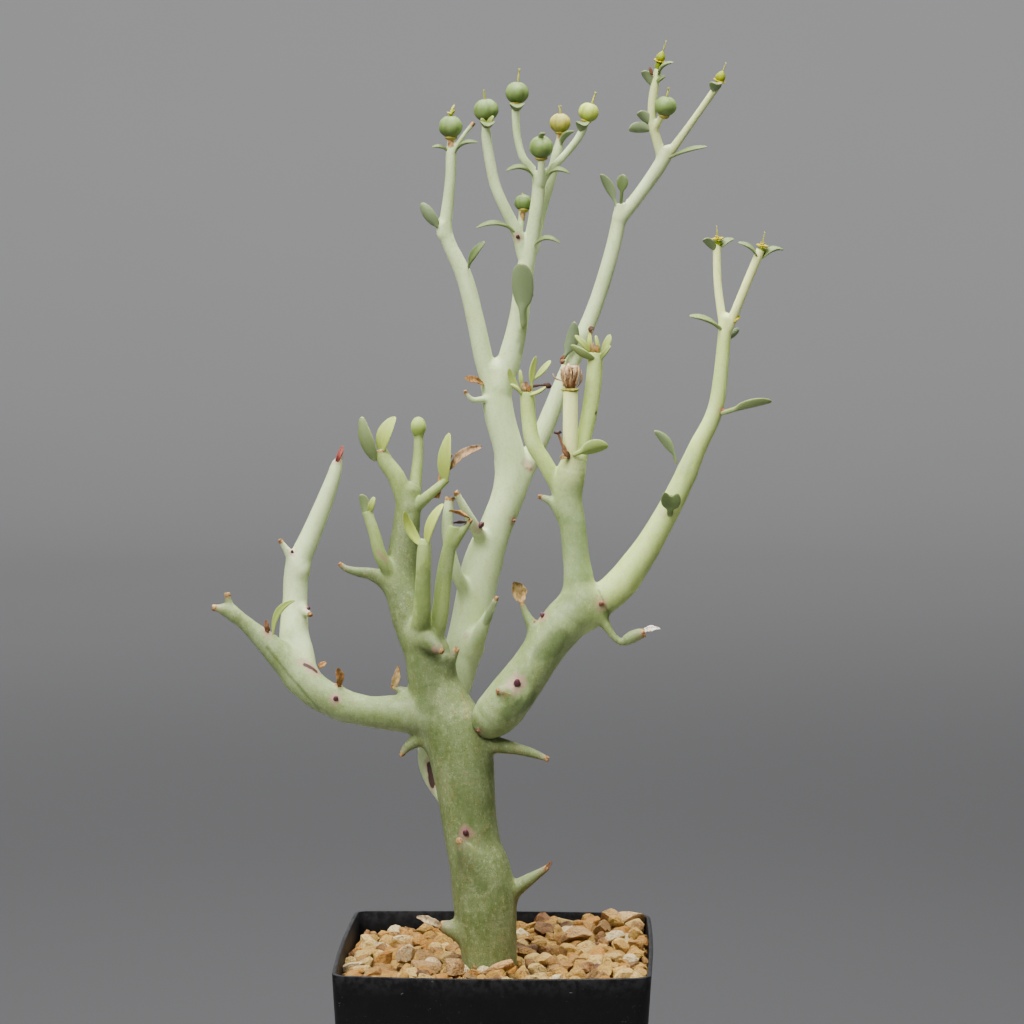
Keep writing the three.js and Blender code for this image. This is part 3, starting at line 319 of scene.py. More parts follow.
        leaf((8.8, -7, 215.6), (9.7, -7, 224.3), 1.8, (0.6, -1, 0.2), -0.05, 0.25, 0.5, -0.2),
        leaf((9.3, -7, 218.6), (13.3, -6.6, 223.2), 1.7, (-0.6, -1, 0.2), 0.05, 0.1, 0.6, 0.2),
        leaf((8.2, -8.6, 215), (12.2, -9.8, 217), 1.9, UPWARD, -0.08, 0, 0.9),
    ]),
    "finger_right_middle": dict(skin="cream", limbs=[
        [(18, -8.8, 196, 1.9), (18, -9.5, 204.5, 1.8), (18, -9.5, 216.4, 1.75)],
    ]),
    "finger_right_right": dict(skin="spring", limbs=[
        [(19.6, -7, 196.5, 1.9), (21, -6.5, 204, 1.8), (22.2, -6, 209, 1.9),
         (23.5, -5.5, 218, 1.95), (24, -5.5, 225, 1.8)],
    ], leaves=[
        leaf((23.8, -7, 223.4), (18, -8, 227), 2.9, (0.2, 0.8, 1), -0.1, 0, 0.4, 0, 0.55),
        leaf((22.8, -5.6, 225), (18.9, -5.5, 229.2), 1.5, FRONT, 0.1, 0, 0.4),
        leaf((22.6, -5.5, 225), (22.5, -5.5, 229.8), 1.4, (-0.6, -1, 0.2), 0.1, 0, 0.3, 0.3, 1.2),
        leaf((24.8, -5.5, 224.8), (23.9, -5.4, 229.2), 1.1, FRONT, 0.1, 0, 0.3),
        leaf((25, -5.5, 224), (27.5, -5.6, 229.4), 2, (-0.4, -1, 0.2), 0.05, 0.2, 0.9, 0.25),
        leaf((25, -6.4, 223.4), (27.6, -7, 226.8), 1.3, FRONT, 0.1, 0, 0.3, 0, 0.5),
    ]),
    "stem_right_long": dict(skin="spring", limbs=[
        [(21.5, -9.6, 162.5, 4.2), (26, -9, 166, 3.8), (29.5, -8.5, 169, 3.9), (35.5, -8, 177, 3.3),
         (40.5, -7.5, 185.5, 2.8), (45, -7, 194.5, 2.6), (48.5, -6.5, 202.5, 2.2),
         (52.5, -6, 211, 1.9), (54, -5.5, 221, 1.7), (54.7, -5, 229, 1.6), (55.2, -5, 233, 1.6)],
    ], horns=[
        [(31, -7, 170, 2.5), (33, -3, 172.5, 1.3), (34, -2, 175, 0.6)],
        [(46, -6, 196.5, 1.9), (47.5, -2.4, 199, 1.2), (48, -1.6, 201.5, 0.6)],
    ], leaves=[
        leaf((41.8, -9.4, 186), (42.2, -13.4, 193), 4.9, FRONT, 0.04, 0.34, 1.3, 0, 0.05),
        leaf((43.4, -8.2, 198.2), (38, -11, 206.8), 2.6, (-0.9, 1, 0.2), 0, 0.3, 0.4, -0.5, 0.2),
        leaf((53.6, -7, 210.4), (66.3, -9.2, 213.6), 3.7, (-0.2, 0.7, 1), -0.05, 0.36, 0.8,
             0.5, 0.4),
        leaf((54.6, -5.6, 230), (46, -8.2, 233.8), 2.9, UPWARD, 0.1, 0.25, 0.5, 0, 0.2),
        leaf((55.4, -4.8, 228.6), (58.4, -2, 230.6), 2, REAR, 0.12, 0, 0.8, 0, 0.1),
    ]),
    "ray_right_left": dict(skin="cream", limbs=[
        [(54.6, -5, 230.6, 1.1), (53.1, -4.5, 241, 0.95), (52.8, -4.1, 251, 0.95)],
    ], leaves=[
        leaf((52.4, -4.6, 249.4), (49.6, -7, 252.2), 2.4, REAR, 0.1, 0, 0.9),
        leaf((53.2, -4.2, 249.6), (57, -2, 252.2), 2.4, UPWARD, 0.12, 0, 0.5),
    ]),
    "ray_right_right": dict(skin="cream", limbs=[
        [(55.8, -5.2, 231, 1.15), (59.5, -6.5, 240.5, 1.05), (63.2, -7.2, 249.6, 1.05)],
    ], leaves=[
        leaf((62.5, -7.4, 247.6), (57.6, -9, 251.4), 2.4, UPWARD, 0.14, 0, 0.5),
        leaf((63.4, -7, 247.4), (68.8, -5, 249.6), 2.4, UPWARD, 0.2, 0, 0.4),
    ]),
}

# How old each kind of skin looks, and how yellow the leaves on it are.
SKIN_AGES = {
    "trunk": 1.0, "moss": 0.8, "branch": 0.6, "glaucous": 0.4, "sage": 0.2, "lime": 0.24,
    "spring": 0.2, "cream": 0.05, "tan": 0.1,
}
LEAF_YOUTH = {
    "trunk": 0.2, "moss": 0.4, "branch": 0.4, "glaucous": 0.4, "sage": 0.1, "lime": 0.8,
    "spring": 0.75, "cream": 0.12, "tan": 0.1,
}

# The green skins, each one piece of what grows together.
SKINS = {
    "trunk_and_left_stems": [
        "trunk", "branch_left", "stem_centre_left", "shoot_left_upright", "shoot_centre_left_a",
        "shoot_centre_left_b", "shoot_centre_left_c", "shoot_centre_left_d",
        "shoot_centre_left_front", "shoot_centre_left_inner",
    ],
    "back_stem_and_arms": [
        "stem_back", "stem_back_left_arm", "stem_back_middle_arm", "stem_back_right_arm",
        "stem_top_right", "ray_top_right", "ray_top_left", "stem_capsule_1", "stem_capsule_2",
        "stem_capsule_3", "stem_capsule_4", "stem_capsule_5",
    ],
    "right_stems": [
        "branch_right", "stem_right_upright", "finger_right_left", "finger_right_middle",
        "finger_right_right", "stem_right_long", "ray_right_left", "ray_right_right",
    ],
}

CAPSULES = {
    "capsule_1": dict(centre=(-11.5, 12, 279), radius=2.9, lean=(0, 0, 1), style=0.8, crest=True),
    "capsule_2": dict(centre=(-3, 11, 283), radius=3, lean=(-0.1, 0, 1), style=2.2),
    "capsule_3": dict(centre=(4.5, 12, 287.2), radius=2.85, lean=(0.1, 0, 1), style=3.2),
    "capsule_4": dict(centre=(15, 18, 280), radius=2.6, lean=(0, 0, 1), style=1.9, tone="tan"),
    "capsule_5": dict(
        centre=(22, 12.5, 282.5), radius=2.5, lean=(0.35, 0, 1), style=2.8, tone="lime",
    ),
    "capsule_6": dict(centre=(10.5, 10, 274), radius=2.9, lean=(0, -0.1, 1), style=0.8),
    "capsule_7": dict(centre=(6, 16.5, 260.5), radius=2.2, lean=(0, 0.4, 1), style=0.6),
    "capsule_8": dict(centre=(40.6, 17, 284), radius=2.65, lean=(0.15, -0.1, 1), style=2.2),
}

# Flower heads: place, lean and the ovary in the middle: its radius, its height and the height
# of its style.
FLOWER_HEADS = {
    "flower_head_ray_left": ((53, -4.3, 251.8), (-0.1, -0.1, 1), (0.4, 0.9, 2.6)),
    "flower_head_ray_right": ((63.5, -7.3, 250.2), (0.15, -0.1, 1), (0.4, 0.9, 2.8)),
    "flower_head_top_right": ((53.6, 18, 289.8), (0.35, -0.2, 1), (1.4, 2.8, 2.2)),
    "flower_head_top_left": ((39.1, 18.7, 294.6), (0.3, -0.2, 1), (1.25, 2.8, 2.8)),
}

# ---- Sizes and colours a user may change ----------------------------------------------------


def length(name, text, millimetres):
    return FloatProperty(
        name=name, description=text, default=millimetres * MM, subtype="DISTANCE", unit="LENGTH",
        precision=5,
    )


def share(name, text, value):
    return FloatProperty(name=name, description=text, default=value, min=0.0, subtype="FACTOR")


def colour(name, text, value):
    return FloatVectorProperty(
        name=name, description=text, default=value, size=3, min=0.0, max=1.0, subtype="COLOR",
    )


class EuphorbiaPot(bpy.types.PropertyGroup):
    rim_width: length("Rim width", "Outside of the square rim", 75)
    foot_width: length("Foot width", "Outside of the foot", 67)
    height: length("Height", "From the foot to the rim", 80)
    wall: length("Wall", "Thickness of the walls", 1)
    floor: length("Floor", "Thickness of the floor", 1.6)
    corner: length("Corner radius", "Radius of three of the rim's corners", 3.2)
    soft_corner: length("Soft corner", "Radius of the corner at the back on the right", 6.5)
    front_bulge: length("Front bulge", "How far the soil pushes the front wall out", 3)
    side_bulge: length("Side bulge", "How far it pushes the other walls out", 0.8)
    drain_radius: length("Drain radius", "Radius of the four drain holes", 3.5)
    drain_offset: length("Drain offset", "Of each drain hole from the centre lines", 19)
    black: colour("Plastic", "Colour of the plastic", (0.0022, 0.0022, 0.0026))


class EuphorbiaGrit(bpy.types.PropertyGroup):
    stones: IntProperty(name="Stones", description="How many stones are laid", default=760, min=1)
    smallest: length("Smallest stone", "Width of the smallest stones", 2.7)
    largest: length("Largest stone", "Width of the largest stones", 6.4)
    bed: length("Bed", "Height of the bed the stones lie on", 74.0)


class EuphorbiaStems(bpy.types.PropertyGroup):
    facet: length("Facet", "Width of the skin's faces", 0.34)
    merge: share("Merging", "How softly horns and forks grow out of a stem", 0.8)
    lumps: length("Lumps", "How far the skin swells and sinks", 0.3)
    trunk: colour("Trunk", "Olive sage of the old trunk", (0.170, 0.205, 0.078))
    moss: colour("Left stem", "Moss green of the stem on the left", (0.160, 0.200, 0.078))
    branch: colour("Branches", "Grey green of the two thick branches", (0.215, 0.275, 0.105))
    glaucous: colour("Right stem", "Frosted green of the upright stem", (0.265, 0.345, 0.140))
    sage: colour("Back stem", "Whitish sage of the tall stem", (0.55, 0.66, 0.34))
    lime: colour("Shoots", "Yellow green of the young shoots", (0.33, 0.42, 0.13))
    spring: colour("Long stem", "Light yellow green of the long right stem", (0.50, 0.62, 0.19))
    cream: colour("Pale shoots", "Cream green of the palest shoots", (0.86, 0.92, 0.36))
    tan: colour("Top rays", "Straw of the topmost rays", (0.55, 0.60, 0.25))


class EuphorbiaLeaves(bpy.types.PropertyGroup):
    thickness: length("Thickness", "Of a leaf's middle", 0.8)
    fold: share("Fold", "How far the two halves are folded up", 0.34)
    outside: colour("Outer face", "Frosty grey green", (0.165, 0.215, 0.108))
    inside: colour("Inner face", "Grey green", (0.085, 0.130, 0.040))
    young_outside: colour("Young outer face", "Yellow green", (0.25, 0.33, 0.060))
    young_inside: colour("Young inner face", "Pale yellow green", (0.38, 0.46, 0.075))
    edge: colour("Edge", "Cream edge", (0.50, 0.52, 0.18))


class EuphorbiaCapsules(bpy.types.PropertyGroup):
    green: colour("Green capsule", "Olive green capsules", (0.135, 0.205, 0.048))
    lime: colour("Young capsule", "The yellow-green capsule", (0.36, 0.44, 0.05))
    tan: colour("Ripe capsule", "The yellow-tan capsule", (0.34, 0.31, 0.045))


class EuphorbiaFlowers(bpy.types.PropertyGroup):
    gland: length("Gland", "Width of a nectar gland", 1.9)
    yellow: colour("Gland", "Bright yellow glands", (0.36, 0.285, 0.0))
    green: colour("Cup", "Yellow green of the cup and the ovary", (0.19, 0.25, 0.006))


class EuphorbiaStage(bpy.types.PropertyGroup):
    azimuth: FloatProperty(
        name="Azimuth", description="Of the camera, round from the front", unit="ROTATION",
        default=math.radians(1.923),
    )
    pitch: FloatProperty(
        name="Pitch", description="How far the camera looks down", unit="ROTATION",
        default=math.radians(5.442),
    )
    lens: FloatProperty(
        name="Lens", description="Focal length on a 36 mm sensor", default=126.5625, unit="CAMERA",
    )
    place: FloatVectorProperty(
        name="Camera place", description="Where the camera stands", size=3,
        default=(0.032849, -0.867377, 0.268754), subtype="XYZ", unit="LENGTH",
    )
    # pale is the painted pool of light round the pot; grey is the painted shade of the floor
    # farther off
    pale: colour("Floor", "Pale floor under the pot", (0.36, 0.36, 0.362))
    grey: colour("Wall", "Grey of the floor farther off", (0.028, 0.028, 0.0294))


# ---- Materials ------------------------------------------------------------------------------


class Wire:
    """A socket of a material that can be reckoned with: each operation adds its Math node."""

    def __init__(self, graph, socket):
        self.graph = graph
        self.socket = socket

    def __add__(self, other):
        return self.graph.math("ADD", self, other)

    def __radd__(self, other):
        return self.graph.math("ADD", other, self)

    def __sub__(self, other):
        return self.graph.math("SUBTRACT", self, other)

    def __rsub__(self, other):
        return self.graph.math("SUBTRACT", other, self)

    def __mul__(self, other):
        return self.graph.math("MULTIPLY", self, other)

    def __rmul__(self, other):
        return self.graph.math("MULTIPLY", other, self)

    def rise(self, low, high):
        """0 below low, 1 above high and smooth between them."""
        return self.graph.node(
            "ShaderNodeMapRange", {"interpolation_type": "SMOOTHSTEP"},
            {"Value": self, "From Min": low, "From Max": high},
        )


class Graph:
    """A material's nodes, built from Python expressions. Its place is in millimetres."""

    def __init__(self, name, **shader):
        self.material = bpy.data.materials.new(name)
        self.material.use_nodes = True
        self.tree = self.material.node_tree
        self.tree.nodes.clear()
        self.shader = self.tree.nodes.new("ShaderNodeBsdfPrincipled")
        end = self.tree.nodes.new("ShaderNodeOutputMaterial")
        self.tree.links.new(self.shader.outputs[0], end.inputs["Surface"])
        for socket, value in shader.items():
            self.shader.inputs[socket.replace("_", " ")].default_value = value
        where = self.node("ShaderNodeTexCoord", {}, {}, "Object")
        self.place = self.scaled(where, 1000.0)

    def node(self, kind, settings, values, output=0):
        """Adds a node of a kind: its settings first, then its sockets' values or links."""
        made = self.tree.nodes.new(kind)
        for name, value in settings.items():
            setattr(made, name, value)
        for name, value in values.items():
            self.feed(made.inputs[name], value)
        return Wire(self, made.outputs[output])

    def feed(self, socket, value):
        """Links a wire to a socket, or sets the socket's own value."""
        if isinstance(value, Wire):
            self.tree.links.new(value.socket, socket)
        elif socket.type == "RGBA" and len(value) == 3:
            socket.default_value = (*value, 1.0)
        else:
            socket.default_value = value

    def math(self, operation, first, second=0.0):
        return self.node("ShaderNodeMath", {"operation": operation}, {0: first, 1: second})

    def scaled(self, vector, size):
        return self.node(
            "ShaderNodeVectorMath", {"operation": "SCALE"}, {0: vector, "Scale": size},
        )

    def mix(self, factor, first, second, blend="MIX"):
        """Two colours mixed: the second one where factor is 1."""
        return self.node(
            "ShaderNodeMix", {"data_type": "RGBA", "blend_type": blend},
            {0: factor, 6: first, 7: second}, 2,
        )

    def coats(self, base, *coats):
        """Colours laid over a base one after the other; a coat is its share and its colour."""
        for share, tone in coats:
            base = self.mix(share, base, tone)
        return base

    def stretched(self, x, y, z):
        return self.node(
            "ShaderNodeVectorMath", {"operation": "MULTIPLY"}, {0: self.place, 1: (x, y, z)},
        )

    def noise(self, size, detail=3.0, place=None, rough=0.55):
        """Cloudy noise from 0 to 1 whose clouds are size millimetres across."""
        return self.node(
            "ShaderNodeTexNoise", {},
            {
                "Vector": place or self.place, "Scale": 1.0 / size, "Detail": detail,
                "Roughness": rough,
            },
        )

    def cells(self, size, feature="F1", output="Distance", place=None):
        return self.node(
            "ShaderNodeTexVoronoi", {"feature": feature},
            {"Vector": place or self.place, "Scale": 1.0 / size}, output,
        )

    def attribute(self, name, output="Fac"):
        return self.node("ShaderNodeAttribute", {"attribute_name": name}, {}, output)

    def channels(self, name):
        """The red, green and blue shares of a painted attribute, and its fourth."""
        paint = self.attribute(name, "Color")
        parts = [
            self.node("ShaderNodeSeparateColor", {}, {"Color": paint}, band)
            for band in ("Red", "Green", "Blue")
        ]
        return [*parts, self.attribute(name, "Alpha")]

    def finish(self, base, roughness, height=None, depth=0.1, strength=1.0):
        """Sets the shader's colour, roughness and relief; depth is the relief's in millimetres."""
        self.feed(self.shader.inputs["Base Color"], base)
        self.feed(self.shader.inputs["Roughness"], roughness)
        if height is not None:
            relief = self.node(
                "ShaderNodeBump", {},
                {"Height": height, "Strength": strength, "Distance": depth * MM},
            )
            self.feed(self.shader.inputs["Normal"], relief)
        return self.material


def black_plastic(black):
    """Thin black nursery-pot plastic with dust, pale scuffs and a rim lightened by wear and by a
    painted highlight.
    """
    graph = Graph("black_plastic", IOR=1.46, Specular_IOR_Level=0.16)
    cloud = graph.noise(9.0, 4.0)
    dust = graph.noise(0.6, 3.0).rise(0.60, 0.74) * graph.noise(12.0, 2.0).rise(0.42, 0.62)
    streak = graph.noise(1.0, 3.0, graph.stretched(1.6, 1.6, 0.09)).rise(0.6, 0.8)
    scuff = graph.noise(1.6, 4.0, graph.stretched(0.8, 0.8, 1.6)).rise(0.69, 0.76)
    # the rim's top band: lighter grey for wear and as a painted highlight along the edge
    rim_wear_and_highlight = graph.attribute("rim") * graph.noise(1.6, 4.0).rise(0.38, 0.62)
    base = graph.coats(
        black, (cloud.rise(0.35, 0.7) * 0.5, (0.004, 0.0039, 0.0043)),
        (streak * 0.02, (0.16, 0.16, 0.165)), (dust * 0.08, (0.20, 0.19, 0.175)),
        (scuff * 0.35, (0.30, 0.30, 0.28)), (rim_wear_and_highlight * 0.12, (0.10, 0.10, 0.105)),
    )
    roughness = 0.46 + 0.2 * cloud + 0.2 * dust + 0.1 * scuff
    height = 0.5 * graph.noise(0.35, 2.0) + 0.8 * graph.noise(5.0, 2.0) - 0.4 * scuff
    return graph.finish(base, roughness, height, 0.06, 0.6)


def potting_soil():
    """Dark peaty soil with bark crumbs and pale grains."""
    graph = Graph("potting_soil")
    crumb = graph.cells(1.6)
    fine = graph.noise(0.6, 5.0)
    bark = graph.cells(3.2, "F1", "Color")
    base = graph.coats(
        (0.010, 0.006, 0.004), (fine, (0.045, 0.026, 0.014)),
        (graph.noise(4.0, 2.0).rise(0.55, 0.7) * 0.6, (0.085, 0.046, 0.022)),
        (graph.cells(2.3).rise(0.16, 0.08) * 0.7, (0.35, 0.33, 0.29)),
    )
    base = graph.mix(0.12, base, bark, "OVERLAY")
    return graph.finish(base, 0.95, crumb * 0.8 + fine * 0.6, 0.5)


def grit():
    """Angular limestone and rust-stained grit; each stone carries its own painted tone."""
    graph = Graph("grit", Specular_IOR_Level=0.3)
    tone = graph.attribute("tone", "Color")
    stain = graph.attribute("stain")
    pit = graph.noise(0.55, 6.0, rough=0.65)
    cloud = graph.noise(2.0, 4.0)
    rust = graph.noise(1.5, 4.0).rise(0.5, 0.66) * stain
    base = graph.coats(
        tone, (cloud.rise(0.35, 0.7) * 0.2, (0.58, 0.38, 0.14)),
        (rust * 0.65, (0.46, 0.21, 0.045)), (pit.rise(0.52, 0.36) * 0.6, (0.17, 0.085, 0.028)),
        (graph.cells(0.5).rise(0.20, 0.1) * 0.4, (0.16, 0.085, 0.035)),
    )
    height = pit + 0.6 * graph.noise(0.22, 3.0) + 0.5 * graph.cells(0.6)
    return graph.finish(base, 0.92 - 0.1 * cloud, height, 0.5, 1.0)


def green_skin():
    """Waxy green stem skin. Painted: skin tone; dry tips, blush, dark seams, and dark patches that
    are partly the skin's own and partly painted shade.
    """
    graph = Graph(
        "green_skin", IOR=1.42, Subsurface_Weight=0.12, Subsurface_Scale=0.0012,
        Subsurface_Radius=(0.6, 1.0, 0.25),
    )
    tone = graph.attribute("skin", "Color")
    dry, blush, seam, patch_and_shade = graph.channels("marks")
    age = graph.attribute("age")
    drawn = graph.stretched(1.0, 1.0, 0.36)
    mottle = graph.noise(5.0, 4.0, drawn, 0.62)
    blotch = graph.noise(1.8, 4.0, drawn)
    fine = graph.noise(0.4, 4.0)
    dots = graph.cells(0.75).rise(0.30, 0.16)
    specks = graph.cells(0.9, place=graph.stretched(1.3, 1.3, 1.0)).rise(0.22, 0.12)
    green = graph.mix(1.0, tone, (0.50, 0.60, 0.32), "MULTIPLY")
    olive = graph.mix(1.0, tone, (0.86, 0.76, 0.42), "MULTIPLY")
    grain = graph.noise(1.0, 6.0, graph.stretched(1.0, 1.0, 0.7), 0.72)
    bloom = graph.noise(8.0, 3.0)
    cork = graph.noise(1.1, 5.0).rise(0.56, 0.66) * graph.noise(9.0, 2.0).rise(0.42, 0.60)
    shred = graph.noise(0.8, 4.0)
    husk = graph.mix(shred.rise(0.35, 0.65), (0.13, 0.050, 0.018), (0.46, 0.28, 0.10))
    base = graph.coats(
        tone,
        (mottle.rise(0.44, 0.70) * (0.24 + 0.5 * age), green),
        (blotch.rise(0.50, 0.72) * (0.18 + 0.45 * age), olive),
        (grain.rise(0.50, 0.66) * (0.16 + 0.42 * age), green),
        (grain.rise(0.46, 0.34) * (0.10 + 0.16 * age), (0.50, 0.56, 0.30)),
        (bloom.rise(0.5, 0.75) * (0.22 - 0.17 * age), (0.58, 0.66, 0.46)),
        (dots * fine.rise(0.4, 0.6) * (0.12 + 0.10 * age), (0.58, 0.64, 0.30)),
        (fine.rise(0.55, 0.3) * (0.12 + 0.35 * age), green),
        (specks * (0.12 + 0.6 * age) * blotch.rise(0.4, 0.6), (0.035, 0.060, 0.012)),
        (cork * age * 0.65, (0.22, 0.16, 0.07)),
        # dark patches: partly the skin's own dark mottling, partly painted shade below the fork,
        # under a leaf stalk and on shaded stem sides
        (patch_and_shade * (0.3 + 0.6 * mottle), (0.050, 0.085, 0.014)),
        (blush * (0.3 + 0.5 * blotch), (0.40, 0.17, 0.17)),
        (dry.rise(0.25, 0.7), husk),
        (seam.rise(0.0, 0.9) * 0.95, (0.042, 0.011, 0.012)),
    )
    roughness = 0.47 + 0.12 * fine + 0.3 * dry + 0.06 * age
    height = 0.6 * fine + 0.6 * grain + 0.4 * graph.noise(1.4, 3.0) + 0.25 * graph.cells(0.5)
    height = height + dry * shred * 2.0 - 0.5 * specks * age
    return graph.finish(base, roughness, height, 0.085, 0.8)


def leaf_skin(size):
    """Thick leaf: frosty outer face, paler inner face, cream edge and a faint rib."""
    graph = Graph(
        "leaf_skin", IOR=1.42, Subsurface_Weight=0.12, Subsurface_Scale=0.0008,
        Subsurface_Radius=(0.6, 1.0, 0.25),
    )
    inner, along, rim, fresh = graph.channels("leaf")
    fine = graph.noise(0.4, 4.0)
    veins = graph.noise(0.8, 3.0, graph.stretched(1.6, 1.6, 0.5))
    old = graph.mix(inner, tuple(size.outside), tuple(size.inside))
    young = graph.mix(inner, tuple(size.young_outside), tuple(size.young_inside))
    base = graph.coats(
        old, (fresh, young), (veins.rise(0.5, 0.75) * 0.3, (0.15, 0.21, 0.065)),
        (fine.rise(0.5, 0.8) * 0.12, (0.42, 0.48, 0.30)),
        (rim.rise(0.6, 0.95) * (0.16 + 0.5 * fresh), tuple(size.edge)),
        (along.rise(0.95, 1.0) * 0.5, (0.36, 0.24, 0.08)),
        (along.rise(0.2, 0.0) * 0.5, (0.34, 0.40, 0.13)),
    )
    return graph.finish(base, 0.52 + 0.15 * fine, fine + veins, 0.06, 0.7)


def dry_tissue():
    """Dead brown tissue: leaves, stalks and flowers that have dried on the plant."""
    graph = Graph("dry_tissue", Specular_IOR_Level=0.3)
    tone = graph.attribute("tone", "Color")
    shred = graph.noise(0.6, 5.0, graph.stretched(1.0, 1.0, 0.5))
    base = graph.coats(
        graph.mix(1.0, tone, (0.42, 0.36, 0.30), "MULTIPLY"), (shred.rise(0.30, 0.62), tone),
        (graph.noise(1.8, 3.0).rise(0.52, 0.7) * 0.3, (0.20, 0.10, 0.04)),
    )
    return graph.finish(base, 0.82, shred + 0.5 * graph.noise(0.25, 2.0), 0.18)


def bud_skin():
    """Small sleeping buds: maroon scales with a paler tip."""
    graph = Graph("bud_skin", IOR=1.45)
    tone = graph.attribute("tone", "Color")
    fine = graph.noise(0.3, 4.0)
    base = graph.mix(fine.rise(0.45, 0.75) * 0.4, tone, (0.20, 0.09, 0.08))
    return graph.finish(base, 0.55, fine, 0.05)


def capsule_skin(name, tone):
    """A seed capsule's leathery skin, darker in its furrows and with painted shade on its lower
    half, with a green style and yellow cup.
    """
    graph = Graph(
        name, IOR=1.42, Subsurface_Weight=0.1, Subsurface_Scale=0.0008,
        Subsurface_Radius=(0.6, 0.9, 0.25),
    )
    furrow, crown, under, cup = graph.channels("fruit")
    fine = graph.noise(0.35, 4.0)
    cloud = graph.noise(1.4, 4.0, graph.stretched(1.4, 1.4, 0.7))
    base = graph.coats(
        tone, (cloud.rise(0.45, 0.7) * 0.5, tuple(1.45 * band for band in tone)),
        (fine.rise(0.55, 0.8) * 0.2, (0.34, 0.42, 0.16)),
        # under: painted shade, darkening the capsule's lower half towards its bottom
        (under * 0.5, tuple(0.5 * band for band in tone)), (furrow * 0.5, (0.085, 0.11, 0.030)),
        (crown * 0.85, (0.36, 0.35, 0.012)), (cup * 0.85, (0.36, 0.27, 0.035)),
    )
    return graph.finish(base, 0.48 + 0.15 * fine, fine + 0.8 * cloud, 0.07, 0.7)


def flower_flesh():
    """Flower parts, each in its own painted tone."""
    graph = Graph(
        "flower_flesh", IOR=1.45, Specular_IOR_Level=0.2, Subsurface_Weight=0.15,
        Subsurface_Scale=0.0008, Subsurface_Radius=(1.0, 0.8, 0.2),
    )
    tone = graph.attribute("tone", "Color")
    fine = graph.noise(0.3, 4.0)
    base = graph.coats(
        tone, (fine.rise(0.5, 0.8) * 0.1, (0.50, 0.44, 0.01)),
        (fine.rise(0.5, 0.25) * 0.2, (0.20, 0.19, 0.005)),
    )
    return graph.finish(base, 0.42 + 0.1 * fine, fine, 0.05, 0.6)


def studio_grey(pale, grey):
    """Painted light and shade: a pale pool of light painted on the floor round the pot, painted
    shade on the grey floor farther off, and painted light that lightens it again up the wall.
    """
    graph = Graph("studio_grey")
    away = graph.node("ShaderNodeVectorMath", {"operation": "LENGTH"}, {0: graph.place}, "Value")
    # painted shade: a darker grey on the floor farther off, with painted light lightening it again
    # up the wall
    far = graph.mix(away.rise(500.0, 2500.0), grey, (0.22, 0.22, 0.224))
    # painted pool of light: the pale floor round the pot
    base = graph.mix(away.rise(235.0, 95.0), far, pale)
    base = graph.mix(graph.noise(140.0, 2.0) * 0.04, base, (0.0, 0.0, 0.0))
    return graph.finish(base, 0.9)


# ---- Shapes ---------------------------------------------------------------------------------


def clear_selection():
    if bpy.context.object and bpy.context.object.mode != "OBJECT":
        bpy.ops.object.mode_set(mode="OBJECT")
    bpy.ops.object.select_all(action="DESELECT")


def select_only(piece):
    clear_selection()
    piece.select_set(True)
    bpy.context.view_layer.objects.active = piece


def apply_modifier(piece, kind, **settings):
    select_only(piece)
    bpy.ops.object.modifier_add(type=kind)
    modifier = piece.modifiers[-1]
    for name, value in settings.items():
        setattr(modifier, name, value)
    bpy.ops.object.modifier_apply(modifier=modifier.name)


def read_points(mesh):
    points = np.empty(3 * len(mesh.vertices))
    mesh.vertices.foreach_get("co", points)
    return points.reshape(-1, 3) / MM


def write_points(mesh, points):
    mesh.vertices.foreach_set("co", (np.asarray(points) * MM).ravel())
    mesh.update()


def paint(mesh, name, values):
    """Stores one number or one colour per vertex as an attribute of the mesh."""
    values = np.asarray(values, dtype=np.float32)
    if values.ndim == 1:
        mesh.attributes.new(name, "FLOAT", "POINT").data.foreach_set("value", values)
        return
    if values.shape[1] == 3:
        values = np.hstack([values, np.ones((len(values), 1), np.float32)])
    mesh.attributes.new(name, "FLOAT_COLOR", "POINT").data.foreach_set("color", values.ravel())


def dress(piece, material, nodes=()):
    """Gives a finished piece its material, its body and the nodes it stands for."""
    piece.data.materials.clear()
    piece.data.materials.append(material)
    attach(piece, "root")
    if nodes:
        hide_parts(*nodes)


def smooth(piece, degrees=None):
    """Smooths all of a piece, or only where its faces meet at less than an angle."""
    select_only(piece)
    if degrees is None:
        bpy.ops.object.shade_smooth()
    else:
        bpy.ops.object.shade_smooth_by_angle(angle=math.radians(degrees))


def pattern(add, **settings):
    """One of Blender's primitives as points and faces, from which the shapes are reshaped."""
    clear_selection()
    add(**settings)
    form = bpy.context.object
    points = np.array([tuple(vertex.co) for vertex in form.data.vertices])
    # Blender lists a ball's faces in another order each time, so they are sorted
    faces = sorted(tuple(face.vertices) for face in form.data.polygons)
    mesh = form.data
    bpy.data.objects.remove(form)
    bpy.data.meshes.remove(mesh)
    return points, faces


def ball_pattern(segments, rings):
    return pattern(
        bpy.ops.mesh.primitive_uv_sphere_add, segments=segments, ring_count=rings, radius=1,
    )


def open_cylinder(name, vertices, radius, depth):
    """An upright cylinder on z = 0 without its top face, left in edit mode with its bmesh."""
    clear_selection()
    bpy.ops.mesh.primitive_cylinder_add(
        vertices=vertices, radius=radius, depth=depth, end_fill_type="NGON",
        location=(0, 0, depth / 2),
    )
    made = bpy.context.object
    made.name = made.data.name = name
    bpy.ops.object.transform_apply(location=True)
    bpy.ops.object.mode_set(mode="EDIT")
    bpy.ops.mesh.select_all(action="DESELECT")
    form = bmesh.from_edit_mesh(made.data)
    top = [face for face in form.faces if face.normal.z > 0.9]
    bmesh.ops.delete(form, geom=top, context="FACES_ONLY")
    return made, form


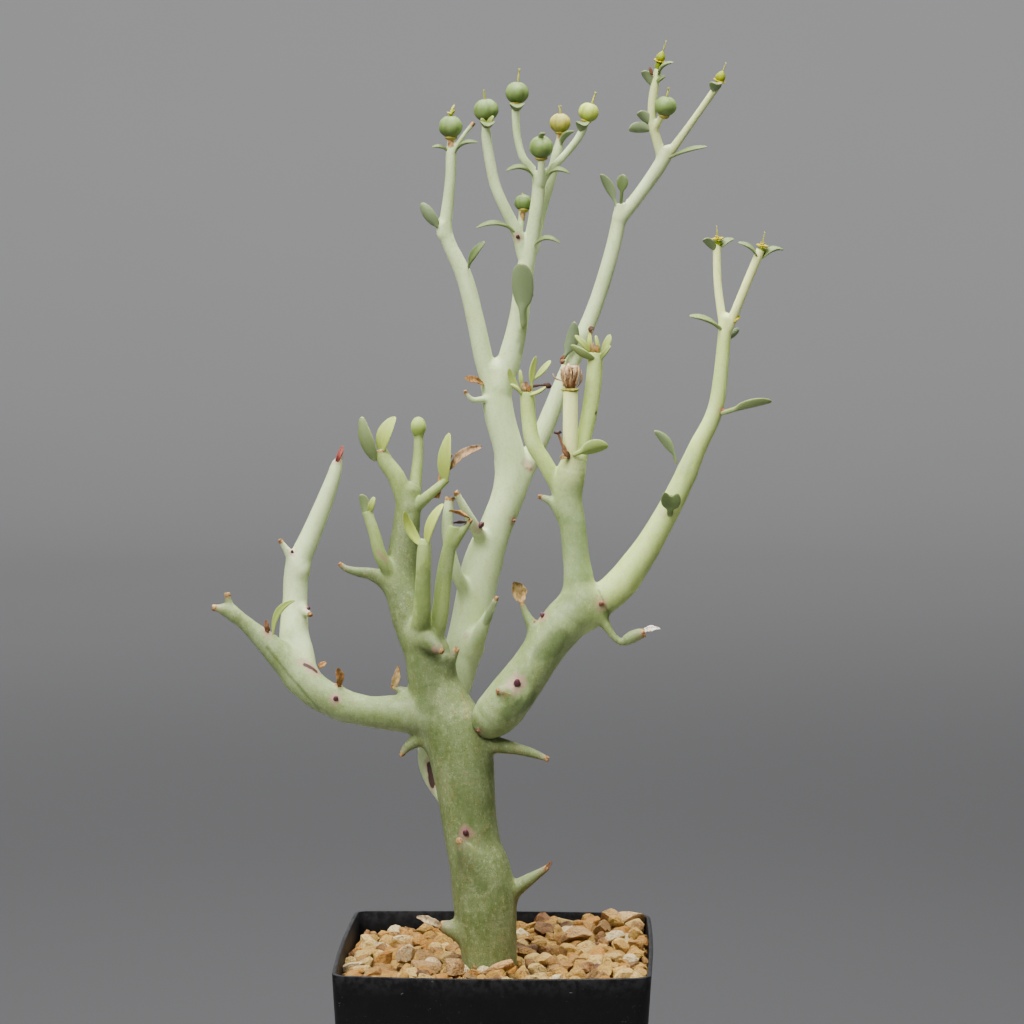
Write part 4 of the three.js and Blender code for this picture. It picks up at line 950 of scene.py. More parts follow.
class Gathering:
    """Closed shapes gathered into the one mesh of a piece, each painted as it is added."""

    def __init__(self):
        self.points = []
        self.faces = []
        self.paints = {}
        self.count = 0

    def add(self, points, faces, **paints):
        points = np.asarray(points, float)
        corners = np.array([face[:3] for face in faces])
        a, b, c = (points[corners[:, k]] for k in range(3))
        if np.einsum("ij,ij->", a, np.cross(b, c)) < 0:
            faces = [face[::-1] for face in faces]
        self.faces += [tuple(self.count + corner for corner in face) for face in faces]
        self.points.append(points)
        self.count += len(points)
        for name, value in paints.items():
            value = np.asarray(value, float)
            if value.ndim == 0 or (value.ndim == 1 and len(value) != len(points)):
                value = np.tile(value, (len(points), 1) if value.ndim else len(points))
            self.paints.setdefault(name, []).append(value)

    def piece(self, name):
        mesh = bpy.data.meshes.new(name)
        mesh.from_pydata((np.vstack(self.points) * MM).tolist(), [], self.faces)
        for paint_name, values in self.paints.items():
            paint(mesh, paint_name, np.concatenate(values))
        made = bpy.data.objects.new(name, mesh)
        bpy.context.scene.collection.objects.link(made)
        bpy.context.view_layer.update()
        return made


def unit(vector):
    vector = np.asarray(vector, float)
    return vector / max(np.linalg.norm(vector), 1e-9)


def turn_to(axis):
    """A matrix whose third column is the axis, for points drawn upright."""
    return np.array(Vector(unit(axis)).to_track_quat("Z", "Y").to_matrix())


def spun(points, angle):
    """Points turned round the Z axis."""
    x, y = points[:, 0], points[:, 1]
    return np.stack([
        x * math.cos(angle) - y * math.sin(angle), x * math.sin(angle) + y * math.cos(angle),
        points[:, 2],
    ], axis=1)


def swell(points, size, seed):
    """Smooth lumps from -1 to 1 at points in millimetres, size millimetres across. Each corner
    of a cell has its own height, made from its number by large odd factors."""
    cells = np.asarray(points) / size + 17.31 * seed
    base = np.floor(cells).astype(np.int64)
    part = cells - base
    part = part * part * (3 - 2 * part)
    total = np.zeros(len(cells))
    for corner in range(8):
        step = np.array([corner & 1, corner >> 1 & 1, corner >> 2 & 1])
        near = np.prod(np.where(step, part, 1 - part), axis=1)
        key = (base + step) @ np.array([73856093, 19349663, 83492791])
        key = ((key ^ (key >> 13)) * 1274126177) & 0x7FFFFFFF
        key = ((key ^ (key >> 15)) * 461845907) & 0x7FFFFFFF
        total += near * ((key % 65536) / 32768.0 - 1)
    return total


def crumple(points, depth, size, seed):
    """Pushes the points about along each axis in turn."""
    for axis in range(3):
        points[:, axis] += depth * swell(points, size, seed + axis)


def ease(values, low, high):
    """0 at low, 1 at high, smooth between them, for arrays."""
    part = np.clip((np.asarray(values, float) - low) / (high - low), 0, 1)
    return part * part * (3 - 2 * part)


def smooth_route(route, step):
    """A centripetal curve through the route's points, sampled every step millimetres."""
    knots = np.array(route, float)
    knots = np.vstack([2 * knots[0] - knots[1], knots, 2 * knots[-1] - knots[-2]])
    rows = []
    for a, b, c, d in zip(knots, knots[1:], knots[2:], knots[3:]):
        first, middle, last = (
            max(np.linalg.norm((q - p)[:3]) ** 0.5, 1e-3) for p, q in ((a, b), (b, c), (c, d))
        )
        leave = ((b - a) / first - (c - a) / (first + middle) + (c - b) / middle) * middle
        arrive = ((c - b) / middle - (d - b) / (middle + last) + (d - c) / last) * middle
        count = max(2, math.ceil(np.linalg.norm((c - b)[:3]) / step))
        s = (np.arange(count) / count)[:, None]
        rows.append(
            (2 * s**3 - 3 * s**2 + 1) * b + (s**3 - 2 * s**2 + s) * leave
            + (3 * s**2 - 2 * s**3) * c + (s**3 - s**2) * arrive
        )
    rows.append(knots[-2][None])
    path = np.vstack(rows)
    path[:, 3] = np.maximum(path[:, 3], 0.3)
    return path


def tubes(name, routes, step):
    """Round rods along routes, drawn as curves and turned into one mesh."""
    curve = bpy.data.curves.new(name, "CURVE")
    curve.dimensions = "3D"
    curve.bevel_depth = MM
    curve.bevel_resolution = 3
    curve.use_fill_caps = True
    for route in routes:
        path = smooth_route(route, step)
        spline = curve.splines.new("POLY")
        spline.points.add(len(path) - 1)
        for point, (x, y, z, radius) in zip(spline.points, path):
            point.co = (x * MM, y * MM, z * MM, 1.0)
            point.radius = radius
    made = bpy.data.objects.new(name, curve)
    bpy.context.scene.collection.objects.link(made)
    select_only(made)
    bpy.ops.object.convert(target="MESH")
    made = bpy.context.object
    made.name = made.data.name = name
    return made


# ---- How the stems grow together ------------------------------------------------------------


class Limb:
    """One stem, shoot or horn: a rod along a route, with its colour."""

    def __init__(self, route, tone, horn=False, age=0.0, merge=1.0, lumpy=1.0):
        self.route = route
        # horns bend more sharply, so their cones are shorter
        self.path = smooth_route(route, 0.9 if horn else 1.6)
        self.tone = np.array(tone)
        self.horn = horn
        self.age = age
        self.merge = merge
        self.lumpy = lumpy

    def near(self, points, reach):
        low = (self.path[:, :3] - self.path[:, 3:]).min(axis=0) - reach
        high = (self.path[:, :3] + self.path[:, 3:]).max(axis=0) + reach
        return np.flatnonzero(np.all((points > low) & (points < high), axis=1))

    def read(self, points):
        """Gap to the skin, the way out, the radius there and how much of the limb is left."""
        starts, ends = self.path[:-1], self.path[1:]
        spans = ends[:, :3] - starts[:, :3]
        squares = np.maximum((spans * spans).sum(axis=1), 1e-9)
        lengths = np.sqrt(squares)
        left = np.concatenate([np.cumsum(lengths[::-1])[::-1], [0.0]])
        result = []
        for chunk in np.array_split(points, max(1, len(points) // 8000)):
            offset = chunk[:, None, :] - starts[None, :, :3]
            share = np.clip(np.einsum("ijk,jk->ij", offset, spans) / squares, 0, 1)
            radius = starts[:, 3] + share * (ends[:, 3] - starts[:, 3])
            away = offset - share[..., None] * spans
            gap = np.sqrt(np.einsum("ijk,ijk->ij", away, away))
            best = np.argmin(gap - radius, axis=1)
            rows = np.arange(len(chunk))
            distance = gap[rows, best]
            way = away[rows, best] / np.maximum(distance, 1e-6)[:, None]
            rest = left[best] - share[rows, best] * lengths[best]
            result.append(np.column_stack([
                distance - radius[rows, best], way, radius[rows, best], rest,
            ]))
        table = np.vstack(result)
        return table[:, 0], table[:, 1:4], table[:, 4], table[:, 5]


def grown_skin(limbs, points, merge):
    """Gap of each point to the limbs' common skin, grown softly together, and the way out."""
    gap = np.full(len(points), 30.0)
    way = np.tile([0.0, 0.0, 1.0], (len(points), 1))
    for limb in limbs:
        rows = limb.near(points, 4.0)
        if not len(rows):
            continue
        other, out, radius, _ = limb.read(points[rows])
        soft = 0.25 + merge * limb.merge * np.minimum(radius, 5.0) * (0.9 if limb.horn else 0.45)
        blend = np.clip(0.5 + 0.5 * (other - gap[rows]) / soft, 0, 1)
        way[rows] = blend[:, None] * way[rows] + (1 - blend)[:, None] * out
        gap[rows] = other + (gap[rows] - other) * blend - soft * blend * (1 - blend)
    way /= np.maximum(np.linalg.norm(way, axis=1), 1e-6)[:, None]
    return gap, way


# ---- What the photograph's camera sees ------------------------------------------------------


def sight(across, down):
    """The line of sight through a point of the photograph's frame: where it starts, its way."""
    stage = bpy.context.scene.euphorbia_stage
    turn, dip = stage.azimuth, stage.pitch
    level = math.cos(dip)
    ahead = np.array([-math.sin(turn) * level, math.cos(turn) * level, -math.sin(dip)])
    right = np.array([math.cos(turn), math.sin(turn), 0.0])
    above = np.cross(right, ahead)
    focal = stage.lens / SENSOR * PHOTO
    way = ahead + (across - PHOTO / 2) / focal * right - (down - PHOTO / 2) / focal * above
    return np.array(stage.place) / MM, way


def seen_at_height(across, down, height):
    start, way = sight(across, down)
    return start + way * (height - start[2]) / way[2]


class Sightings:
    """Finds the place on the green skins that lies behind a point of the frame."""

    def __init__(self, names):
        depsgraph = bpy.context.evaluated_depsgraph_get()
        self.trees = [BVHTree.FromObject(bpy.data.objects[name], depsgraph) for name in names]

    def cast(self, across, down):
        start, way = sight(across, down)
        hits = []
        for tree in self.trees:
            place, normal, _, reach = tree.ray_cast(Vector(start * MM), Vector(unit(way)))
            if place is not None:
                hits.append((reach, np.array(place) / MM, np.array(normal)))
        return min(hits, key=lambda hit: hit[0])[1:] if hits else None

    def find(self, across, down):
        """The skin behind a point of the frame, or behind the nearest point round it."""
        for reach in (0, 2, 4, 6, 9, 12, 16):
            for turn in range(12):
                way = 2 * math.pi * turn / 12
                hit = self.cast(across + reach * math.cos(way), down + reach * math.sin(way))
                if hit:
                    return hit
        raise RuntimeError(f"nothing grows behind {across}, {down}")


# ---- The pieces -----------------------------------------------------------------------------


class EUPHORBIA_OT_pot(bpy.types.Operator):
    """Mould the square pot: open rim, thin bulging walls and a floor with four drain holes"""

    bl_idname = "euphorbia.pot"
    bl_label = "Pot"

    def execute(self, context):
        size = context.scene.euphorbia_pot
        rim, foot, height = size.rim_width / MM, size.foot_width / MM, size.height / MM
        # a quarter of the ring is half a side, a corner and half a side again
        ring, side_steps, corner_steps = 128, 9, 14
        pot, form = open_cylinder("nursery_pot", ring, 1, size.height)
        for edge in form.edges:
            ends = [vertex.co.z for vertex in edge.verts]
            edge.select = abs(ends[0] - ends[1]) > 0.01
        bmesh.update_edit_mesh(pot.data)
        bpy.ops.mesh.subdivide(number_cuts=15)
        bpy.ops.object.mode_set(mode="OBJECT")
        points = read_points(pot.data)
        half = rim / 2
        turn = np.arctan2(points[:, 1], points[:, 0]) / (2 * math.pi)
        turn = np.round(turn * ring).astype(int) % ring
        quarter, step = turn // (ring // 4), turn % (ring // 4)
        corner = np.where(quarter == 0, size.soft_corner / MM, size.corner / MM)
        straight = half - corner
        bend = np.clip((step - side_steps) / corner_steps, 0, 1) * math.pi / 2
        early, late = step <= side_steps, step > side_steps + corner_steps
        x = np.where(early, half, straight + corner * np.cos(bend))
        y = np.where(early, straight * step / side_steps, straight + corner * np.sin(bend))
        x = np.where(late, straight * (ring // 4 - step) / side_steps, x)
        y = np.where(late, half, y)
        spin = quarter * math.pi / 2
        x, y = x * np.cos(spin) - y * np.sin(spin), x * np.sin(spin) + y * np.cos(spin)
        z = points[:, 2]
        taper = (foot + (rim - foot) * z / height) / rim
        across, along, swelling = x / half, y / half, (z / height) ** 2
        push = np.where(along < 0, size.front_bulge / MM, size.side_bulge / MM)
        dent = 0.1 * np.abs(swell(np.stack([x, y, 0.6 * z], axis=1), 24.0, 3))
        out_x = x * taper + across * (1 - along**2) * (swelling * size.side_bulge / MM - dent)
        out_y = y * taper + along * (1 - across**2) * (swelling * push - dent)
        write_points(pot.data, np.stack([out_x, out_y, z], axis=1))
        floor = pot.vertex_groups.new(name="thickness")
        for vertex in pot.data.vertices:
            low = vertex.co.z < 0.5 * MM
            floor.add([vertex.index], 1.0 if low else size.wall / size.floor, "REPLACE")
        apply_modifier(
            pot, "SOLIDIFY", thickness=size.floor, offset=-1, use_even_offset=True,
            vertex_group="thickness",
        )
        apply_modifier(
            pot, "BEVEL", width=0.2 * MM, segments=2, limit_method="ANGLE",
            angle_limit=math.radians(50),
        )
        away = size.drain_offset
        for x, y in ((-away, -away), (-away, away), (away, -away), (away, away)):
            clear_selection()
            bpy.ops.mesh.primitive_cylinder_add(
                vertices=40, radius=size.drain_radius, depth=4 * size.floor,
                location=(x, y, size.floor / 2),
            )
            cutter = context.object
            apply_modifier(pot, "BOOLEAN", object=cutter, operation="DIFFERENCE", solver="EXACT")
            mesh = cutter.data
            bpy.data.objects.remove(cutter)
            bpy.data.meshes.remove(mesh)
        points = read_points(pot.data)
        # the rim band, painted lighter as wear and as a painted highlight
        paint(pot.data, "rim", ease(points[:, 2], height - 0.9, height - 0.1))
        smooth(pot, 35)
        dress(pot, black_plastic(tuple(size.black)), ["pot"])
        return {"FINISHED"}


class EUPHORBIA_OT_soil(bpy.types.Operator):
    """Give the soil in the pot its crumbly finish"""

    bl_idname = "euphorbia.soil"
    bl_label = "Soil"

    def execute(self, context):
        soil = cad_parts["soil"]
        soil.data.materials.clear()
        soil.data.materials.append(potting_soil())
        return {"FINISHED"}


# Stones that stand out in the photograph: frame point, widths in millimetres, tone and turn.
CHOSEN_STONES = [
    ((498, 971), (9.0, 5.0, 2.6), (0.44, 0.25, 0.095), 0.10),
    ((430, 964), (8.0, 4.6, 2.8), (0.30, 0.18, 0.07), -0.35),
    ((544, 936), (7.2, 5.0, 4.2), (0.08, 0.034, 0.016), 0.3),
    ((575, 943), (8.0, 5.0, 3.8), (0.40, 0.24, 0.10), 0.1),
    ((597, 967), (3.8, 3.0, 2.6), (0.06, 0.024, 0.034), 0.0),
    ((405, 958), (4.8, 4.2, 4.4), (0.52, 0.39, 0.21), 0.2),
    ((455, 974), (5.2, 4.6, 4.6), (0.36, 0.22, 0.09), 0.2),
    ((640, 921), (7.4, 5.2, 4.4), (0.52, 0.35, 0.16), -0.2),
    ((612, 923), (6.6, 4.6, 4.0), (0.43, 0.26, 0.09), 0.3),
    ((545, 915), (6.2, 4.8, 4.4), (0.12, 0.052, 0.022), 0.5),
]
STONE_TONES = [
    ((0.38, 0.23, 0.045), 5), ((0.32, 0.175, 0.028), 5), ((0.30, 0.13, 0.014), 2.4),
    ((0.46, 0.32, 0.100), 4), ((0.24, 0.12, 0.024), 3), ((0.18, 0.10, 0.032), 2),
    ((0.13, 0.055, 0.015), 1.6), ((0.07, 0.03, 0.015), 0.8), ((0.56, 0.45, 0.24), 1.8),
]


def cut_stone(template, widths, turn, random):
    """A ball cut flat nine times, brought to its widths, turned and tilted at random."""
    points = template.copy()
    for _ in range(9):
        normal = unit(random.normal(size=3))
        past = points @ normal - (0.44 + 0.3 * random.rand())
        points -= np.clip(past, 0, None)[:, None] * normal
    points *= 1 + 0.045 * swell(points, 0.5, random.randint(1000))[:, None]
    points *= np.array(widths) / (points.max(axis=0) - points.min(axis=0))
    tilt = 0.32 * random.normal(size=2)
    spin = np.array(
        Matrix.Rotation(turn, 3, "Z") @ Matrix.Rotation(tilt[0], 3, "X")
        @ Matrix.Rotation(tilt[1], 3, "Y")
    )
    return points @ spin.T


def grit_bed(height, rounding):
    """The closed bed under the stones, with corners drawn in to the pot's rounded inside."""
    rows = np.linspace(-35.6, 35.6, 60)
    bed = np.stack([axis.ravel() for axis in np.meshgrid(rows, rows, indexing="ij")], axis=1)
    straight = 29.6
    out = np.abs(bed) - straight
    past = np.hypot(*np.clip(out, 0, None).T)
    drawn = (out.min(axis=1) > 0) & (past > rounding)
    shrink = rounding / np.maximum(past, 0.1)
    bed = np.where(drawn[:, None], np.sign(bed) * (straight + out * shrink[:, None]), bed)
    upper = np.column_stack([bed, np.full(len(bed), height)])
    upper[:, 2] += 0.9 * swell(upper, 2.6, 8) + 0.4 * swell(upper, 1.3, 9)
    lower = upper * [1, 1, 0] + [0, 0, 71.0]
    count, side = len(upper), len(rows)
    cells = [
        (i * side + k, (i + 1) * side + k, (i + 1) * side + k + 1, i * side + k + 1)
        for i in range(side - 1) for k in range(side - 1)
    ]
    edge = list(range(side)) + [k * side + side - 1 for k in range(1, side)]
    edge += [(side - 1) * side + k for k in range(side - 2, -1, -1)]
    edge += [k * side for k in range(side - 2, 0, -1)]
    walls = [(a + count, b + count, b, a) for a, b in zip(edge, edge[1:] + edge[:1])]
    bottom = [tuple(corner + count for corner in cell[::-1]) for cell in cells]
    return np.vstack([upper, lower]), cells + walls + bottom


class EUPHORBIA_OT_gravel(bpy.types.Operator):
    """Lay the angular grit stone by stone, each on what already lies below it"""

    bl_idname = "euphorbia.gravel"
    bl_label = "Gravel"

    def execute(self, context):
        size = context.scene.euphorbia_grit
        random = np.random.RandomState(23)
        coarse, fine = (
            pattern(bpy.ops.mesh.primitive_ico_sphere_add, subdivisions=cuts, radius=1)
            for cuts in (2, 3)
        )
        # a height map of what is laid so far, and how high the stones are to come: the grit is
        # lowest at the back on the left
        pitch, reach = 0.5, 37.5
        ticks = np.arange(-reach, reach + pitch, pitch)
        grid_x, grid_y = np.meshgrid(ticks, ticks, indexing="ij")
        level = np.full(grid_x.shape, size.bed / MM)
        aim = 77.6 + 0.045 * grid_x - 0.010 * grid_y + 0.0007 * grid_x * grid_y
        # where no stone may lie: in the bulging walls, past the soft corner and in the trunk
        swelling, inside = 0.9, 36.0
        inner_x = inside + 0.8 * swelling * (1 - (grid_y / reach) ** 2)
        inner_y = inside + np.where(grid_y < 0, 3.0, 0.8) * swelling * (1 - (grid_x / reach) ** 2)
        soft, rounding = 30.0, 5.6
        cut = (grid_x > soft) & (grid_y > soft)
        cut &= np.hypot(grid_x - soft, grid_y - soft) > rounding
        walled = (np.abs(grid_x) > inner_x) | (np.abs(grid_y) > inner_y) | cut
        blocked = walled | (np.hypot(grid_x + 1.6, grid_y + 13) < 6.6)
        gathering = Gathering()

        def lay(centre, widths, tone, turn, chosen):
            """Sets a stone down and raises the height map to it."""
            template, faces = fine if chosen or widths[0] > 4.8 else coarse
            points = cut_stone(template, widths, turn, random) + centre
            gathering.add(points, faces, tone=np.array(tone), stain=random.rand())
            radius = (widths[0] + widths[1]) / 4
            span, flat = around(centre[0], centre[1], radius)
            crown = centre[2] + 0.425 * widths[2] * np.sqrt(np.clip(1 - (flat / radius) ** 2, 0, 1))
            level[span] = np.where(flat < radius, np.maximum(level[span], crown), level[span])

        def around(x, y, radius):
            row, column = int((x + reach) / pitch), int((y + reach) / pitch)
            wide = int(radius / pitch) + 2
            span = tuple(slice(max(middle - wide, 0), middle + wide) for middle in (row, column))
            return span, np.hypot(grid_x[span] - x, grid_y[span] - y)

        def support(x, y, width):
            span, flat = around(x, y, 0.36 * width)
            return np.percentile(level[span][flat < 0.36 * width], 60)

        def fits(x, y, radius):
            span, flat = around(x, y, radius)
            return not np.any(blocked[span] & (flat < radius))

        weights = np.array([weight for _, weight in STONE_TONES])
        wanted = size.stones
        placed = 0
        for _ in range(3 * wanted):
            if placed >= wanted:
                break
            if placed == int(0.8 * wanted):
                # the chosen stones count as one, so that they are laid once
                for (across, down), widths, tone, turn in CHOSEN_STONES:
                    x, y, _ = seen_at_height(across, down, 78.5)
                    x, y = np.clip((x, y), (-33, -36), (33.2, 32.6))
                    base = support(x, y, widths[0])
                    lay(np.array([x, y, base + 0.42 * widths[2]]), widths, tone, turn, True)
                placed += 1
            # small stones below, large ones on top
            part = random.rand() ** (2.4 - 2.0 * placed / wanted)
            width = (size.smallest + (size.largest - size.smallest) * part) / MM
            widths = width * np.array([1.0, 0.7 + 0.27 * random.rand(), 0.6 + 0.32 * random.rand()])
            best = None
            for x, y in random.uniform(-36.5, 36.5, size=(26, 2)):
                if not fits(x, y, 0.42 * width):
                    continue
                cell = (int(round((x + reach) / pitch)), int(round((y + reach) / pitch)))
                base = support(x, y, width)
                room = aim[cell] - (base + 0.8 * widths[2])
                if best is None or room > best[0]:
                    best = (room, x, y, base)
            if best is None or best[0] < -1.6:
                continue
            _, x, y, base = best
            kind = random.choice(len(weights), p=weights / weights.sum())
            tone = np.array(STONE_TONES[kind][0]) * (0.82 + 0.3 * random.rand())
            centre = np.array([x, y, base + 0.36 * widths[2]])
            lay(centre, widths, tone, FULL_TURN * random.rand(), False)
            placed += 1
        bed = grit_bed(size.bed / MM, rounding)
        gathering.add(*bed, tone=np.array([0.10, 0.05, 0.018]), stain=0.6)
        gravel = gathering.piece("angular_grit")
        smooth(gravel, 20)
        dress(gravel, grit(), ["gravel"])
        return {"FINISHED"}


def limbs_of(nodes, size):
    """The limbs and horns of some of the plant's pieces, each with its colour."""
    limbs = []
    for node in nodes:
        stem = STEMS[node]
        tone = tuple(getattr(size, stem["skin"]))
        age = SKIN_AGES[stem["skin"]]
        thick = max(point[3] for point in stem["limbs"][0])
        for route in stem["limbs"]:
            merge = 1.0 if thick > 2.4 else 0.7
            limbs.append(Limb(route, tone, age=age, merge=merge, lumpy=thick / 5))
        for route in stem.get("horns", []):
            limbs.append(Limb(route, tone, horn=True, age=age, lumpy=0.4))
    return limbs


def grow_skin(name, nodes, size, material):
    """One fused green skin: rods remeshed together, drawn onto their soft common surface."""
    limbs = limbs_of(nodes, size)
    thin = min(max(point[3] for point in limb.route) for limb in limbs)
    skin = tubes(name, [limb.route for limb in limbs], 0.8 if thin < 2 else 1.0)
    facet = size.facet * 1.0
    apply_modifier(skin, "REMESH", mode="VOXEL", voxel_size=facet, adaptivity=0.0)
    points = read_points(skin.data)
    merge = size.merge
    for _ in range(3):
        gap, way = grown_skin(limbs, points, merge)
        points -= np.clip(gap, -1.5, 1.5)[:, None] * way
    count = len(points)
    shares = np.full(count, 1e-6)
    tone = np.zeros((count, 3))
    age = np.zeros(count)
    bulk = np.zeros(count)
    marks = np.zeros((count, 4))
    for limb in limbs:
        rows = limb.near(points, 3.0)
        if not len(rows):
            continue
        gap, _, radius, rest = limb.read(points[rows])
        near = np.exp(-np.clip(gap, -0.5, None) / (0.35 + 0.28 * radius))
        shares[rows] += near
        tone[rows] += near[:, None] * limb.tone
        age[rows] += near * limb.age
        bulk[rows] += near * np.minimum(radius, 6) * limb.lumpy
        if limb.horn:
            held = ease(gap, 0.7, 0.15)
            for band, shade in (
                (DRY, held * ease(rest, 1.5, 0.5)), (BLUSH, held * 0.3 * ease(rest, 3.6, 1.0)),
            ):
                marks[rows, band] = np.maximum(marks[rows, band], shade)
    tone /= shares[:, None]
    age /= shares
    bulk /= shares
    _, way = grown_skin(limbs, points, merge)
    lump = 0.55 * swell(points * [1, 1, 0.55], 7.0, 5)
    lump += 0.3 * swell(points * [1, 1, 0.6], 3.0, 9)
    fold = 0.12 * swell(points * [1, 1, 0.3], 1.3, 12)
    height = size.lumps / MM * np.clip(bulk / 5, 0.12, 1.0) * (lump + fold)
    points += height[:, None] * way
    write_points(skin.data, points)
    paint(skin.data, "skin", tone * (1 + 0.08 * swell(points, 9.0, 31))[:, None])
    paint(skin.data, "age", age)
    paint(skin.data, "marks", marks)
    smooth(skin)
    dress(skin, material, nodes)


class EUPHORBIA_OT_skins(bpy.types.Operator):
    """Grow the trunk, branches, arms, shoots and rays as three fused green skins"""

    bl_idname = "euphorbia.skins"
    bl_label = "Green skins"

    def execute(self, context):
        size = context.scene.euphorbia_stems
        material = green_skin()
        for name, nodes in SKINS.items():
            grow_skin(name, nodes, size, material)
        return {"FINISHED"}


# Marks on the skin where the photograph shows them: band of the paint, width in millimetres,
# strength and a line of points of the photograph's frame.
# The dark patch marks are partly the skin's own dark mottling and partly painted shade: on the
# trunk below the fork, on the front of the left stem, under a leaf's stalk and at the foot of the
# long stem.
MARKS = [
    (PATCH_AND_SHADE, 2.4, 0.6, [(483, 862), (480, 884)]),
    # painted shade on the trunk below the fork
    (PATCH_AND_SHADE, 6.0, 0.62, [(462, 735), (470, 772), (477, 818)]),
    (PATCH_AND_SHADE, 2.8, 0.8, [(470, 766), (490, 770)]),
    # painted shade on the front of the stem on the left
    (PATCH_AND_SHADE, 3.4, 0.8, [(420, 668), (428, 685), (426, 704)]),
    (PATCH_AND_SHADE, 3.0, 0.5, [(430, 730), (445, 752)]),
    (PATCH_AND_SHADE, 2.8, 0.85, [(541, 652), (553, 646), (560, 638)]),
    (PATCH_AND_SHADE, 2.6, 0.8, [(508, 713), (520, 707), (532, 698)]),
    (PATCH_AND_SHADE, 3.2, 0.6, [(424, 575), (426, 620), (434, 668)]),
    (PATCH_AND_SHADE, 1.4, 1.0, [(486, 622), (491, 604)]),
    # painted shade under the oval leaf's stalk
    (PATCH_AND_SHADE, 2.2, 0.8, [(524, 332), (523, 348)]),
    (PATCH_AND_SHADE, 3.4, 0.5, [(564, 604), (584, 618)]),
    # painted shade under the foot of the long stem
    (PATCH_AND_SHADE, 2.0, 0.7, [(608, 614), (622, 610), (633, 598)]),
    (PATCH_AND_SHADE, 1.8, 0.35, [(690, 452), (684, 470)]),
    (PATCH_AND_SHADE, 1.6, 0.35, [(657, 556), (650, 575)]),
    (PATCH_AND_SHADE, 0.45, 0.9, [(267, 647), (290, 676), (319, 709)]),
    (DRY, 1.2, 0.6, [(475, 968)]),
    (DRY, 1.1, 0.38, [(463, 692), (467, 718)]),
    (DRY, 0.7, 0.36, [(467, 827), (477, 842), (489, 824)]),
    (DRY, 0.45, 0.7, [(377, 452), (385, 451)]),
    (DRY, 0.45, 0.7, [(424, 538), (433, 538)]),
    (DRY, 1.0, 0.8, [(450, 138), (450, 145)]),
    (DRY, 0.9, 0.8, [(560, 134), (561, 140)]),
    (DRY, 0.9, 0.8, [(523, 213), (524, 218)]),
    (DRY, 0.4, 0.7, [(534, 622), (543, 617)]),
    (DRY, 0.6, 0.5, [(503, 694), (510, 694)]),
    (BLUSH, 2.2, 0.8, [(430, 764), (432, 786)]),
    (SEAM, 1.3, 1.0, [(430, 766), (432, 784)]),
    (SEAM, 0.75, 1.0, [(305, 665), (310, 667), (316, 671)]),
    (BLUSH, 1.8, 0.9, [(303, 663), (310, 667), (317, 672)]),
    (BLUSH, 1.6, 1.0, [(339, 460), (342, 452)]),
    (SEAM, 0.45, 0.5, [(414, 491)]),
    (BLUSH, 0.6, 0.9, [(378, 552), (381, 556), (386, 560)]),
    (BLUSH, 1.0, 0.8, [(434, 650), (441, 652)]),
    (SEAM, 0.55, 0.8, [(596, 413)]),
    (SEAM, 0.4, 0.4, [(599, 590), (604, 603), (610, 616)]),
    (BLUSH, 1.6, 0.8, [(525, 462), (530, 468)]),
    (DRY, 0.6, 0.5, [(526, 468), (531, 469)]),
    (BLUSH, 1.1, 0.7, [(467, 635)]),
    (BLUSH, 2.4, 0.9, [(517, 687)]),
    (BLUSH, 1.8, 0.8, [(480, 528)]),
    (BLUSH, 1.2, 0.5, [(662, 514)]),
    (SEAM, 0.6, 0.9, [(477, 731)]),
]

# Sleeping buds: frame point, length and width in millimetres, tone.
MAROON = (0.065, 0.014, 0.024)
BROWN = (0.17, 0.070, 0.030)
BUDS = [
    ((466, 833), 1.9, 1.6, MAROON), ((517, 684), 2.4, 1.9, MAROON), ((543, 616), 1.5, 1.3, MAROON),
    ((601, 604), 1.6, 1.4, BROWN), ((267, 627), 2.0, 1.3, BROWN), ((336, 699), 1.6, 1.4, MAROON),
    ((308, 609), 1.2, 1.0, MAROON), ((480, 526), 2.0, 1.7, MAROON), ((513, 521), 1.2, 1.1, BROWN),
    ((726, 411), 1.3, 1.1, (0.22, 0.02, 0.02)), ((518, 237), 1.3, 1.1, MAROON),
    ((479, 731), 1.1, 0.9, BROWN), ((292, 552), 1.0, 0.9, MAROON), ((533, 295), 0.9, 0.9, BROWN),
]


def traced(line):
    """A line of frame points with more points set between them, about three apart."""
    line = np.array(line, float)
    if len(line) < 2:
        return line
    reach = np.append(0, np.cumsum(np.linalg.norm(np.diff(line, axis=0), axis=1)))
    steps = np.linspace(0, reach[-1], int(reach[-1] / 3) + 2)
    return np.stack([np.interp(steps, reach, line[:, k]) for k in range(2)], axis=1)


def paint_line(marks, points, line, band, width, strength):
    """Lays paint along a line on the skin, fading out to its width."""
    line = np.array(line)
    if len(line) > 1:
        reach = np.linalg.norm(np.diff(line, axis=0), axis=1).sum()
        steps = np.linspace(0, len(line) - 1, int(reach / (0.4 * width)) + 2)
        knots = np.arange(len(line))
        line = np.stack([np.interp(steps, knots, line[:, k]) for k in range(3)], axis=1)
    low, high = line.min(axis=0) - 2 * width, line.max(axis=0) + 2 * width
    rows = np.flatnonzero(np.all((points > low) & (points < high), axis=1))
    if len(rows):
        away = np.linalg.norm(points[rows][:, None] - line[None], axis=2).min(axis=1)
        away = away * (1 + 0.3 * swell(points[rows], 0.9, 3) + 0.2 * swell(points[rows], 2.6, 4))
        shade = strength * ease(away, width, 0.55 * width)
        marks[rows, band] = np.maximum(marks[rows, band], shade)


